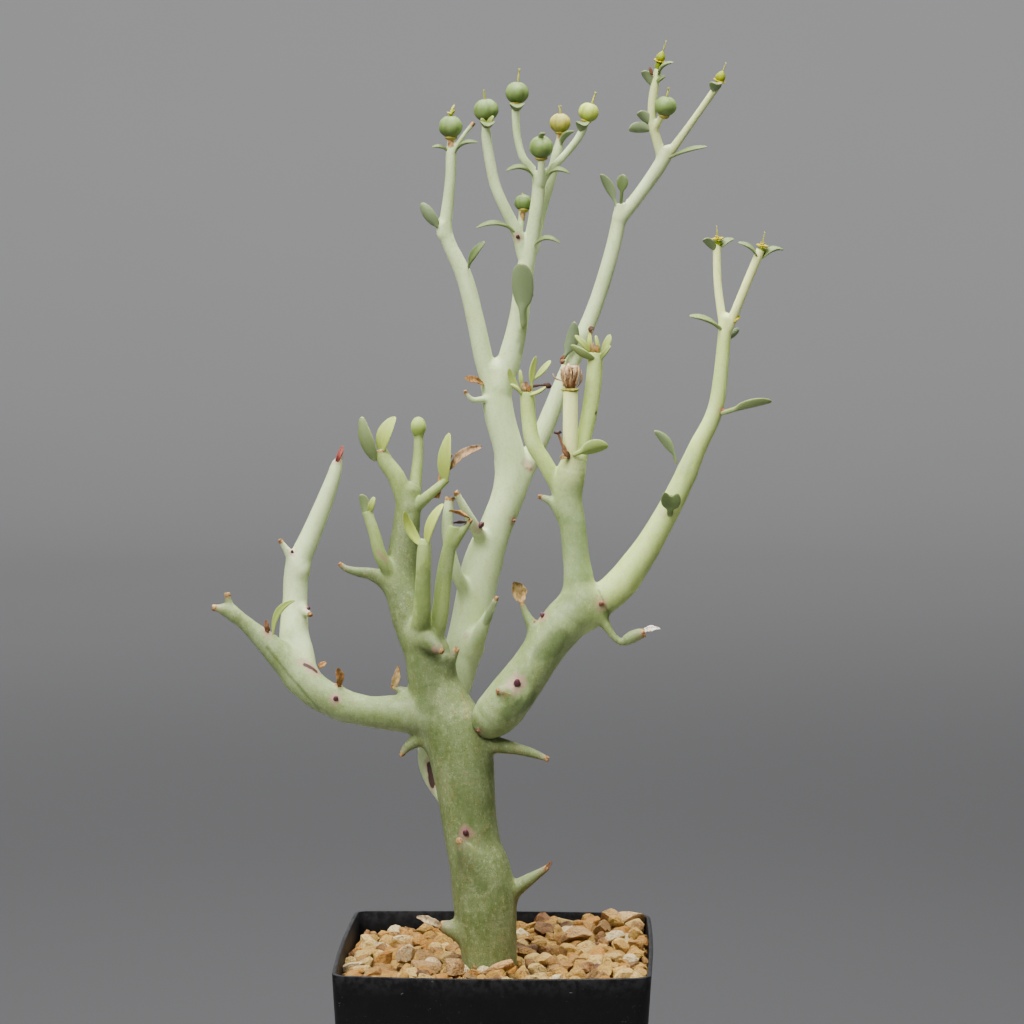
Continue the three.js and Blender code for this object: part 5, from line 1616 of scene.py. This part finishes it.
class EUPHORBIA_OT_marks(bpy.types.Operator):
    """Paint the scars, seams and spots on the skins and set the sleeping buds"""

    bl_idname = "euphorbia.marks"
    bl_label = "Marks and buds"

    def execute(self, context):
        size = context.scene.euphorbia_stems
        sightings = Sightings(SKINS)
        lines = [
            (band, width, strength, [sightings.find(*point)[0] for point in traced(line)])
            for band, width, strength, line in MARKS
        ]
        buds = [(sightings.find(*point), long, wide, tone) for point, long, wide, tone in BUDS]
        lines += [(BLUSH, 1.5 * wide, 0.8, [place]) for (place, _), _, wide, _ in buds]
        # a dark seam is drawn where the right branch and the trunk, two pieces, meet
        seam_limbs = {
            "trunk_and_left_stems": limbs_of(["branch_right"], size)[:1],
            "right_stems": limbs_of(["trunk"], size)[:1],
        }
        for name in SKINS:
            mesh = bpy.data.objects[name].data
            points = read_points(mesh)
            data = mesh.attributes["marks"].data
            marks = np.empty(4 * len(points), np.float32)
            data.foreach_get("color", marks)
            marks = marks.reshape(-1, 4)
            for band, width, strength, line in lines:
                paint_line(marks, points, line, band, width, strength)
            if name in seam_limbs:
                gap, _ = grown_skin(seam_limbs[name], points, size.merge)
                marks[:, SEAM] = np.maximum(marks[:, SEAM], 0.5 * ease(np.abs(gap), 0.4, 0.05))
            data.foreach_set("color", marks.ravel())
        template, faces = ball_pattern(14, 10)
        gathering = Gathering()
        for (place, normal), long, wide, tone in buds:
            points = template.copy()
            part = (points[:, 2] + 1) / 2
            angle = np.arctan2(points[:, 1], points[:, 0])
            scale = (1 - 0.55 * part**2) * (1 + 0.12 * np.cos(3 * angle + 5 * part))
            points[:, :2] *= scale[:, None]
            points = points * [wide / 2, wide / 2, long / 2] + [0, 0, 0.22 * long]
            axis = unit(normal + [0, 0, 0.7])
            gathering.add(
                points @ turn_to(axis).T + place, faces,
                tone=np.outer(1 + 1.2 * ease(part, 0.7, 1.0), tone),
            )
        piece = gathering.piece("sleeping_buds")
        smooth(piece, 60)
        dress(piece, bud_skin())
        return {"FINISHED"}


def leaf_points(template, form, thick, fold, curl=0.0):
    """A ball's points reshaped as a thick, folded and bowed leaf, with its painted shares: how
    far a point is on the inner face, along the leaf and at its edge."""
    base, tip = np.array(form["base"], float), np.array(form["tip"], float)
    width, stalk, blunt = form["width"], form["stalk"], form["blunt"]
    along = unit(tip - base)
    length = np.linalg.norm(tip - base)
    up = np.array(form["face"], float)
    up = unit(up - along * (up @ along))
    across = np.cross(up, along)
    part = np.arccos(np.clip(-template[:, 2], -1, 1)) / math.pi
    angle = np.arctan2(template[:, 1], template[:, 0])
    round_tip = min(blunt, 1)
    blade = np.clip((part - 0.8 * stalk) / (1 - 0.8 * stalk), 0, 1)
    outline = np.sin(math.pi * (0.04 + 0.93 * blade ** (0.85 + 0.3 * round_tip)))
    outline = outline ** (0.95 - 0.45 * round_tip)
    thin = max(0.16 * width, 0.36) / (width / 2)
    outline = np.sqrt((outline * (ease(blade, 0, 0.16) if stalk else 1)) ** 2 + thin**2)
    outline /= math.hypot(1, thin)
    ends = np.clip(1 - np.abs(2 * part - 1) ** 14, 0, 1) ** 0.5
    side = np.cos(angle) * np.abs(np.cos(angle)) ** -0.15 * width / 2 * outline * ends
    stem = (1 - ease(blade, 0, 0.2)) if stalk else np.zeros(len(part))
    half = (1 - stem) * thick / 2 * (0.55 + 0.6 * np.sin(math.pi * part)) + stem * thin * width / 2
    body = np.sin(angle) * half * ends
    rib = -0.10 * np.exp(-(side / (0.12 * width)) ** 2) * (np.sin(angle) > 0) * (1 - stem)
    lift = body + rib + form["bow"] * length * 4 * part * (1 - part)
    lift += fold * (np.sqrt(side**2 + 0.12) - 0.35) + curl * length * np.clip(part - 0.6, 0, 1) ** 2
    drift = form["sway"] * length * (part**2 - part)
    notch = max(blunt - 1, 0) * length * np.exp(-(side / (0.2 * width)) ** 2) * part**6
    points = (
        base + np.outer(part * length - notch, along) + np.outer(side + drift, across)
        + np.outer(lift, up)
    )
    inner = ease(np.sin(angle), -0.12, 0.12)
    rim = np.abs(np.cos(angle)) ** 7
    return points, inner, part, rim


class EUPHORBIA_OT_leaves(bpy.types.Operator):
    """Fold the thick green leaves at the ends of the shoots"""

    bl_idname = "euphorbia.leaves"
    bl_label = "Leaves"

    def execute(self, context):
        size = context.scene.euphorbia_leaves
        random = np.random.RandomState(5)
        template, faces = ball_pattern(16, 18)
        material = leaf_skin(size)
        for name, nodes in SKINS.items():
            gathering = Gathering()
            for node in nodes:
                for form in STEMS[node].get("leaves", []):
                    fresh = form["fresh"]
                    if fresh is None:
                        fresh = LEAF_YOUTH[STEMS[node]["skin"]] * (0.8 + 0.4 * random.rand())
                    thick = size.thickness / MM * (0.85 + 0.3 * random.rand())
                    points, *shares = leaf_points(
                        template, form, thick, size.fold * (0.8 + 0.5 * random.rand()),
                        0.25 * (random.rand() - 0.4),
                    )
                    shares.append(np.full(len(points), fresh))
                    gathering.add(points, faces, leaf=np.stack(shares, axis=1))
            leaves = gathering.piece("leaves_of_" + name)
            apply_modifier(leaves, "SUBSURF", levels=1, render_levels=1)
            smooth(leaves)
            dress(leaves, material)
        return {"FINISHED"}


PAPER = (0.50, 0.38, 0.21)
STRAW = (0.46, 0.31, 0.12)
RUST = (0.38, 0.19, 0.055)
UMBER = (0.20, 0.095, 0.040)
DARK = (0.060, 0.024, 0.014)


def husk(base, tip, width, tone, face=FRONT, bow=0.12, blunt=0.3, sway=0.0, curl=0.4):
    """A dead leaf: curl is how far its end rolls up."""
    return dict(leaf(base, tip, width, face, bow, 0, blunt, sway), tone=tone, curl=curl)


DEAD_LEAVES = [
    husk((-12.6, -14.3, 87.2), (-18.8, -13.4, 89.2), 1.9, PAPER, blunt=0.2, curl=0.5),
    husk((6.3, -11, 165.3), (4.7, -11.4, 170.4), 3.5, (0.54, 0.38, 0.14), FRONT, -0.2, 0.7, 0.35),
    husk((35.2, -11.5, 158.2), (39.7, -11.5, 158.9), 2.1, (0.70, 0.63, 0.52), (0, -0.5, 1),
         blunt=0.1),
    husk((-37.9, -10, 144.4), (-38.2, -12, 149.9), 2.4, RUST, (0.8, -1, 0.2), curl=0.7),
    husk((-24.9, -7.4, 144), (-23.4, -7.4, 149.4), 2, STRAW, blunt=0.2, sway=0.3),
    husk((-11, -7.6, 196.8), (-2.6, -10, 202.6), 2.1, (0.44, 0.28, 0.14), blunt=0.8, sway=-0.42),
    husk((-11.3, -9.4, 187), (-6, -11.6, 185.2), 2.5, RUST, TOP, 0.1, 0.4),
    husk((-10, -10.2, 184.2), (-6.8, -11.4, 184.6), 1.5, DARK, TOP, 0.05, 0.7),
    husk((12.5, -14.2, 101.2), (13.8, -14.4, 103.2), 1.1, UMBER),
    husk((-3.6, 11, 216.4), (-8.3, 8, 217.9), 1.9, RUST, (0, -1, 0.6), blunt=0.8),
    husk((15.2, 13.4, 221.6), (16.4, 12.8, 223.4), 1, UMBER),
    husk((-54.9, -10.2, 157.8), (-55, -10.4, 160.8), 1.3, UMBER, blunt=0.6),
    husk((-41, -8, 150.4), (-42.6, -9.2, 149), 1.4, RUST, blunt=0.6),
    husk((6.9, -7.8, 215.6), (6.6, -8.4, 217.8), 1.3, STRAW),
    husk((7.9, -8, 215.6), (8.3, -8.4, 217.4), 1.2, RUST),
    husk((7.4, -7, 215.6), (7.4, -6.8, 218), 1.1, UMBER),
    husk((23.3, -6.2, 224.8), (22.9, -6.4, 227.6), 1.3, STRAW),
    husk((24.2, -6.2, 224.8), (24.4, -6.6, 227), 1.2, RUST),
    husk((22.1, -5.6, 230.2), (23.6, -5.6, 231), 1.3, DARK, blunt=0.8),
    husk((17.9, -11.3, 200), (15.9, -11.9, 202.3), 1.3, UMBER),
    husk((17.6, -11.4, 200.8), (15.4, -12, 200), 1.2, STRAW),
    husk((-38.9, 1, 197.8), (-37.3, 1.2, 202), 1.3, (0.34, 0.070, 0.060), curl=0.1),
    husk((56.4, -5.8, 232.2), (58.5, -5.9, 233.9), 1.4, (0.42, 0.34, 0.005), blunt=0.9, curl=0),
    husk((37.2, 17.9, 291.4), (36.6, 17.6, 293.6), 0.8, UMBER),
]
DEAD_STALKS = [
    ([(-14.2, -6.4, 190, 0.75), (-12.6, -6.2, 197, 0.55), (-10.6, -6.6, 200.5, 0.35)], RUST),
    ([(9, -7, 217, 0.3), (11.2, -7, 217.3, 0.3), (12.7, -7, 217.1, 0.7),
      (13.3, -7, 216.7, 0.3)], DARK),
    ([(23.1, -5.4, 226.6, 0.35), (22.8, -5.4, 229, 0.3), (22.6, -5.4, 230.8, 0.4)], STRAW),
    ([(17.3, -11.1, 200.4, 0.5), (16.7, -11.7, 202, 0.55), (16.1, -11.8, 203.4, 0.3),
      (15.4, -11.8, 205.2, 0.28), (15, -11.8, 206, 0.35)], UMBER),
    ([(14.1, -11.8, 206.3, 0.35), (15, -11.8, 206, 0.3), (15.9, -11.8, 206.5, 0.35)], DARK),
]


class EUPHORBIA_OT_dead_parts(bpy.types.Operator):
    """Curl the dead papery leaves and stalks that are still on the plant"""

    bl_idname = "euphorbia.dead_parts"
    bl_label = "Dead leaves and stalks"

    def execute(self, context):
        template, faces = ball_pattern(20, 22)
        tissue = dry_tissue()
        gathering = Gathering()
        for number, form in enumerate(DEAD_LEAVES):
            points, _, part, _ = leaf_points(template, form, 0.5, 0.6, form["curl"])
            crumple(points, 0.15 * form["width"] ** 0.5, 1.1, 7 * number)
            shade = 1 - 0.35 * ease(part, 0.7, 1.0) - 0.3 * ease(part, 0.2, 0.0)
            gathering.add(points, faces, tone=np.outer(shade, form["tone"]))
        leaves = gathering.piece("dead_leaves")
        apply_modifier(leaves, "SUBSURF", levels=1, render_levels=1)
        smooth(leaves, 50)
        dress(leaves, tissue)
        for number, (route, tone) in enumerate(DEAD_STALKS, start=1):
            stalk = tubes(f"dead_stalk_{number}", [route], 0.4)
            points = read_points(stalk.data)
            crumple(points, 0.16, 0.9, 50)
            write_points(stalk.data, points)
            paint(stalk.data, "tone", np.tile(tone, (len(points), 1)))
            smooth(stalk, 50)
            dress(stalk, tissue)
        return {"FINISHED"}


class EUPHORBIA_OT_capsules(bpy.types.Operator):
    """Shape the three-lobed seed capsules, each with its style on top"""

    bl_idname = "euphorbia.capsules"
    bl_label = "Seed capsules"

    def execute(self, context):
        size = context.scene.euphorbia_capsules
        template, faces = ball_pattern(48, 28)
        rod, rod_faces = ball_pattern(10, 12)
        materials = {
            name: capsule_skin("capsule_skin_" + name, tuple(getattr(size, name)))
            for name in ("green", "lime", "tan")
        }
        flat = np.hypot(template[:, 0], template[:, 1])
        height = template[:, 2]
        for number, (node, fruit) in enumerate(CAPSULES.items()):
            radius, tall = fruit["radius"], fruit["style"]
            turn = turn_to(fruit["lean"])
            centre = np.array(fruit["centre"])
            gathering = Gathering()

            def put(points, form_faces, shares):
                gathering.add(points @ turn.T + centre, form_faces, fruit=np.array(shares))

            # three lobes with a furrow between them and a keel along each
            angle = np.arctan2(template[:, 1], template[:, 0]) + 0.7 * number
            lobe = np.abs(np.mod(3 * angle / (2 * math.pi) + 0.5, 1.0) - 0.5) * 2
            furrow = ease(lobe, 0.82, 1.0)
            keel = ease(lobe, 0.14, 0.0)
            scale = 1 + 0.03 * np.cos(3 * angle) * flat - 0.045 * furrow * flat
            scale += 0.012 * keel * flat
            points = template * scale[:, None] * radius
            points[:, 2] *= 0.93
            dimple = np.exp(-(flat / 0.26) ** 2)
            points[:, 2] -= 0.07 * radius * dimple * np.sign(height)
            points += 0.03 * radius * swell(points, 1.4, number + 3)[:, None] * template
            put(points, faces, np.stack([
                np.maximum(furrow, 0.6 * keel) * flat, 0.4 * dimple * (height > 0),
                # third share: painted shade, growing towards the capsule's bottom
                ease(height, 0.0, -0.9), np.zeros(len(height)),
            ], axis=1))
            cup = rod.copy()
            cup[:, :2] *= (0.72 + 0.28 * ease(cup[:, 2], -1, 0.6))[:, None] * radius * 0.56
            cup[:, 0] *= 1 + 0.1 * np.cos(3 * cup[:, 2])
            cup[:, 2] = cup[:, 2] * 0.26 * radius - 0.95 * radius
            put(cup, rod_faces, (0.0, 0.0, 0.0, 1.0))
            crown = (0.0, 1.0, 0.0, 0.0)
            column = rod * [0.27, 0.27, 0.5 * tall + 0.2]
            column[:, :2] *= (1 - 0.35 * ease(rod[:, 2], -0.6, 1))[:, None]
            column[:, 0] += 0.12 * (rod[:, 2] + 1) ** 2
            column[:, 2] += 0.84 * radius + 0.5 * tall
            put(column, rod_faces, crown)
            # the style's three arms, or a crest of four dried flaps: length, width and spread
            arms = [(0.3 * tall, 0.14, 0.5)] * 3
            if fruit.get("crest"):
                arms = [(1.6, 0.42, 1.3), (3.0, 0.4, 1.1), (1.2, 0.5, 1.5), (1.0, 0.5, 1.2)]
            for branch, (long, wide, spread) in enumerate(arms):
                way = 2 * math.pi * branch / len(arms) + number + 2.4
                arm = rod * [wide, wide, long / 2]
                arm[:, 2] += long / 2
                arm[:, 0] += spread * (arm[:, 2] / long) ** 2 * min(long, 1.6) * 0.7
                arm = spun(arm, way)
                arm[:, 2] += 0.84 * radius
                if not fruit.get("crest"):
                    arm[:, 2] += 0.8 * tall
                put(arm, rod_faces, crown)
            piece = gathering.piece("seed_" + node)
            smooth(piece)
            dress(piece, materials[fruit.get("tone", "green")], [node])
        return {"FINISHED"}


class EUPHORBIA_OT_flower_heads(bpy.types.Operator):
    """Make the flower heads: cup, five glands, stamens, ovary and the three-armed style"""

    bl_idname = "euphorbia.flower_heads"
    bl_label = "Flower heads"

    def execute(self, context):
        size = context.scene.euphorbia_flowers
        random = np.random.RandomState(9)
        ball, faces = ball_pattern(18, 12)
        small, small_faces = ball_pattern(8, 8)
        yellow = np.array(tuple(size.yellow))
        green = np.array(tuple(size.green))
        material = flower_flesh()
        for node, (centre, facing, (ovary, high, tall)) in FLOWER_HEADS.items():
            turn = turn_to(facing)
            centre = np.array(centre)
            gathering = Gathering()

            def put(points, form_faces, tone):
                gathering.add(points @ turn.T + centre, form_faces, tone=np.array(tone))

            cup = ball.copy()
            rise = (cup[:, 2] + 1) / 2
            angle = np.arctan2(cup[:, 1], cup[:, 0])
            cup[:, :2] *= ((0.72 + 0.3 * rise) * (1 + 0.05 * np.cos(5 * angle)))[:, None]
            cup[:, 2] = cup[:, 2] * 1.2 - 0.8
            cup[:, 2] -= 0.4 * ease(rise, 0.75, 1.0) * (np.hypot(cup[:, 0], cup[:, 1]) < 0.6)
            put(cup, faces, green)
            for number in range(5):
                way = 2 * math.pi * (number + 0.15) / 5
                gland = ball.copy()
                bend = 0.22 * gland[:, 1] ** 2
                dimple = np.exp(-(np.hypot(gland[:, 0], gland[:, 1]) / 0.5) ** 2)
                gland[:, 2] -= 0.35 * dimple * (gland[:, 2] > 0)
                gland = gland * [0.46, size.gland / MM / 2, 0.24]
                gland[:, 0] += 1.15 - bend
                gland[:, 2] += 0.40 + 0.22 * (gland[:, 0] - 1.15)
                put(spun(gland, way), faces, yellow * (0.9 + 0.2 * random.rand()))
            for _ in range(8):
                way, out = FULL_TURN * random.rand(), 0.2 + 0.35 * random.rand()
                east, north = out * math.cos(way), out * math.sin(way)
                long = 0.7 + 0.5 * random.rand()
                thread = small * [0.09, 0.09, long / 2] + [0, 0, long / 2]
                lean = 0.6 + 0.4 * thread[:, 2] / long
                thread[:, 0] += east * lean
                thread[:, 1] += north * lean
                put(thread, small_faces, (0.42, 0.38, 0.02))
                put(small * [0.18, 0.14, 0.14] + [east, north, long], small_faces,
                    (0.48, 0.38, 0.002))
            heart = ball.copy()
            part = (heart[:, 2] + 1) / 2
            angle = np.arctan2(heart[:, 1], heart[:, 0])
            heart[:, :2] *= ((1 - 0.55 * part**2) * (1 + 0.06 * np.cos(3 * angle)))[:, None] * ovary
            heart[:, 2] = heart[:, 2] * high / 2 + 0.2 + high / 2
            put(heart, faces, 0.85 * green + 0.15 * yellow)
            column = small * [0.2, 0.2, 0.5 * tall]
            column[:, :2] *= (1 - 0.4 * ease(small[:, 2], -0.5, 1))[:, None]
            column += [0.1, 0, high + 0.5 * tall - 0.1]
            put(column, small_faces, (0.38, 0.40, 0.05))
            for number in range(3):
                way = 2 * math.pi * number / 3 + 0.4
                arm = small * [0.1, 0.1, 0.3]
                arm[:, 2] += 0.3
                out = 0.8 * arm[:, 2] ** 2
                arm = np.stack([
                    0.1 + out * math.cos(way) + arm[:, 0], out * math.sin(way) + arm[:, 1],
                    high + 0.86 * tall + 0.7 * arm[:, 2],
                ], axis=1)
                put(arm, small_faces, (0.40, 0.40, 0.07))
            piece = gathering.piece("cyathium_" + node)
            smooth(piece)
            dress(piece, material, [node])
        return {"FINISHED"}


class EUPHORBIA_OT_dried_flower(bpy.types.Operator):
    """Shrivel the dried flower on the pale middle finger"""

    bl_idname = "euphorbia.dried_flower"
    bl_label = "Dried flower"

    def execute(self, context):
        random = np.random.RandomState(14)
        template, faces = ball_pattern(14, 12)
        gathering = Gathering()
        foot = np.array([18.0, -9.5, 216.4])
        # the yellow collar, the brown ring on it and what is left of the cap
        for offset, widths, tone in (
            ((0, 0, -0.1), (2.05, 2.05, 0.55), (0.44, 0.42, 0.06)),
            ((0, 0, 0.9), (1.35, 1.35, 0.8), (0.24, 0.12, 0.05)),
            ((0, 0, 3.2), (0.8, 0.8, 1.9), (0.15, 0.07, 0.035)),
            ((0.3, -0.2, 5.3), (1.3, 0.9, 0.45), (0.66, 0.50, 0.32)),
            ((-1.5, -0.2, 4.1), (0.7, 0.6, 0.6), (0.50, 0.32, 0.15)),
            ((-1.9, 0.2, 6.6), (0.6, 0.5, 0.6), (0.20, 0.10, 0.05)),
        ):
            knob = template * widths * (1 + 0.25 * swell(template, 0.5, 4))[:, None]
            gathering.add(knob + foot + offset, faces, tone=np.array(tone))
        # a brown strip, a papery strip over it and a thread outside both, all the way round
        for number in range(27):
            ring, way = number % 3, 2 * math.pi * number / 27 + 0.2 * random.rand()
            low, high, near, out, wide = (
                (0.6, 2.6, 1.3, 1.5, 1.1), (2.0, 6.0, 1.5, 2.1, 1.4), (0.5, 4.8, 1.7, 2.6, 0.35),
            )[ring]
            high += 0.9 * (random.rand() - 0.5)
            out += 0.7 * (random.rand() - 0.5)
            tone = ((0.32, 0.15, 0.06), (0.66, 0.44, 0.24), (0.54, 0.36, 0.17))[ring]
            tip = foot + [out * math.cos(way), out * math.sin(way), high]
            if number == 13:
                tip = foot + [-4.2, -0.4, 3.9]
            form = leaf(
                foot + [near * math.cos(way), near * math.sin(way), low], tip,
                wide * (0.7 + 0.6 * random.rand()), (-math.cos(way), -math.sin(way), 0.3),
                -0.25 * random.rand(), 0, 0.7, 0.6 * (random.rand() - 0.5),
            )
            points, _, part, _ = leaf_points(template, form, 0.3, 0.4, 0.9 * (random.rand() - 0.3))
            crumple(points, 0.2, 0.9, 5 * number)
            gathering.add(points, faces, tone=np.outer(0.75 + 0.35 * part, tone))
        piece = gathering.piece("shrivelled_flower")
        smooth(piece, 45)
        dress(piece, bpy.data.materials["dry_tissue"], ["dried_flower"])
        return {"FINISHED"}


class EUPHORBIA_OT_stage(bpy.types.Operator):
    """Set the floor and wall with their painted pool of light and painted shade, the soft studio
    lights and the camera
    """

    bl_idname = "euphorbia.stage"
    bl_label = "Stage"

    def execute(self, context):
        stage = context.scene.euphorbia_stage
        floor, _ = open_cylinder("studio_floor", 96, 2.4, 3.2)
        bmesh.update_edit_mesh(floor.data)
        bpy.ops.object.mode_set(mode="OBJECT")
        apply_modifier(
            floor, "BEVEL", width=0.8, segments=14, limit_method="ANGLE",
            angle_limit=math.radians(60),
        )
        bpy.ops.object.mode_set(mode="EDIT")
        bpy.ops.mesh.select_all(action="SELECT")
        bpy.ops.mesh.flip_normals()
        bpy.ops.object.mode_set(mode="OBJECT")
        smooth(floor, 40)
        floor.data.materials.append(studio_grey(tuple(stage.pale), tuple(stage.grey)))
        # name, watts, width, place and what the light is aimed at
        for name, power, width, place, aim in (
            ("key_light", 26.0, 0.7, (-0.36, -0.58, 0.95), (0, 0, 0.17)),
            ("top_light", 18.0, 0.6, (0.06, 0.06, 0.85), (0, 0, 0.17)),
            ("fill_light", 2.6, 0.9, (1.05, -0.80, 0.45), (0, 0, 0.16)),
            ("back_light", 3.0, 0.7, (-0.45, 1.05, 0.75), (0, 0, 0.16)),
            ("wall_light", 45.0, 1.4, (0.0, 0.9, 1.7), (0, 2.4, 0.6)),
        ):
            lamp = bpy.data.lights.new(name, "AREA")
            lamp.energy = power
            lamp.shape = "SQUARE"
            lamp.size = width
            light = bpy.data.objects.new(name, lamp)
            context.scene.collection.objects.link(light)
            light.location = place
            way = Vector(aim) - Vector(place)
            light.rotation_euler = way.to_track_quat("-Z", "Y").to_euler()
            light.visible_camera = False
        world = bpy.data.worlds.new("studio_air")
        world.use_nodes = True
        air = world.node_tree.nodes["Background"].inputs
        air["Color"].default_value = (0.80, 0.82, 0.85, 1.0)
        air["Strength"].default_value = 0.3
        context.scene.world = world
        lens = bpy.data.cameras.new("photo_camera")
        lens.lens = stage.lens
        lens.sensor_width = SENSOR
        lens.clip_start, lens.clip_end = 0.05, 20.0
        camera = bpy.data.objects.new("photo_camera", lens)
        context.scene.collection.objects.link(camera)
        camera.location = stage.place
        camera.rotation_euler = (math.pi / 2 - stage.pitch, 0.0, stage.azimuth)
        context.scene.camera = camera
        return {"FINISHED"}


class EUPHORBIA_PT_panel(bpy.types.Panel):
    """Lists the plant's pieces and their sizes"""

    bl_idname = "EUPHORBIA_PT_panel"
    bl_label = "Potted Euphorbia"
    bl_space_type = "VIEW_3D"
    bl_region_type = "UI"
    bl_category = "Euphorbia"

    def draw(self, context):
        for operator in OPERATORS:
            self.layout.operator(operator.bl_idname)
        for key, group in GROUPS.items():
            box = self.layout.box()
            settings = getattr(context.scene, key)
            for name in group.__annotations__:
                box.prop(settings, name)


GROUPS = {
    "euphorbia_pot": EuphorbiaPot,
    "euphorbia_grit": EuphorbiaGrit,
    "euphorbia_stems": EuphorbiaStems,
    "euphorbia_leaves": EuphorbiaLeaves,
    "euphorbia_capsules": EuphorbiaCapsules,
    "euphorbia_flowers": EuphorbiaFlowers,
    "euphorbia_stage": EuphorbiaStage,
}
OPERATORS = [
    EUPHORBIA_OT_pot, EUPHORBIA_OT_soil, EUPHORBIA_OT_gravel, EUPHORBIA_OT_skins,
    EUPHORBIA_OT_marks, EUPHORBIA_OT_leaves, EUPHORBIA_OT_dead_parts, EUPHORBIA_OT_capsules,
    EUPHORBIA_OT_flower_heads, EUPHORBIA_OT_dried_flower, EUPHORBIA_OT_stage,
]


def register():
    for group in GROUPS.values():
        bpy.utils.register_class(group)
    for operator in OPERATORS:
        bpy.utils.register_class(operator)
    bpy.utils.register_class(EUPHORBIA_PT_panel)
    for key, group in GROUPS.items():
        setattr(bpy.types.Scene, key, PointerProperty(type=group))


def unregister():
    for key in GROUPS:
        delattr(bpy.types.Scene, key)
    bpy.utils.unregister_class(EUPHORBIA_PT_panel)
    for operator in reversed(OPERATORS):
        bpy.utils.unregister_class(operator)
    for group in reversed(list(GROUPS.values())):
        bpy.utils.unregister_class(group)


def main():
    register()
    for operator in OPERATORS:
        family, action = operator.bl_idname.split(".")
        getattr(getattr(bpy.ops, family), action)()


if __name__ == "__main__":
    main()
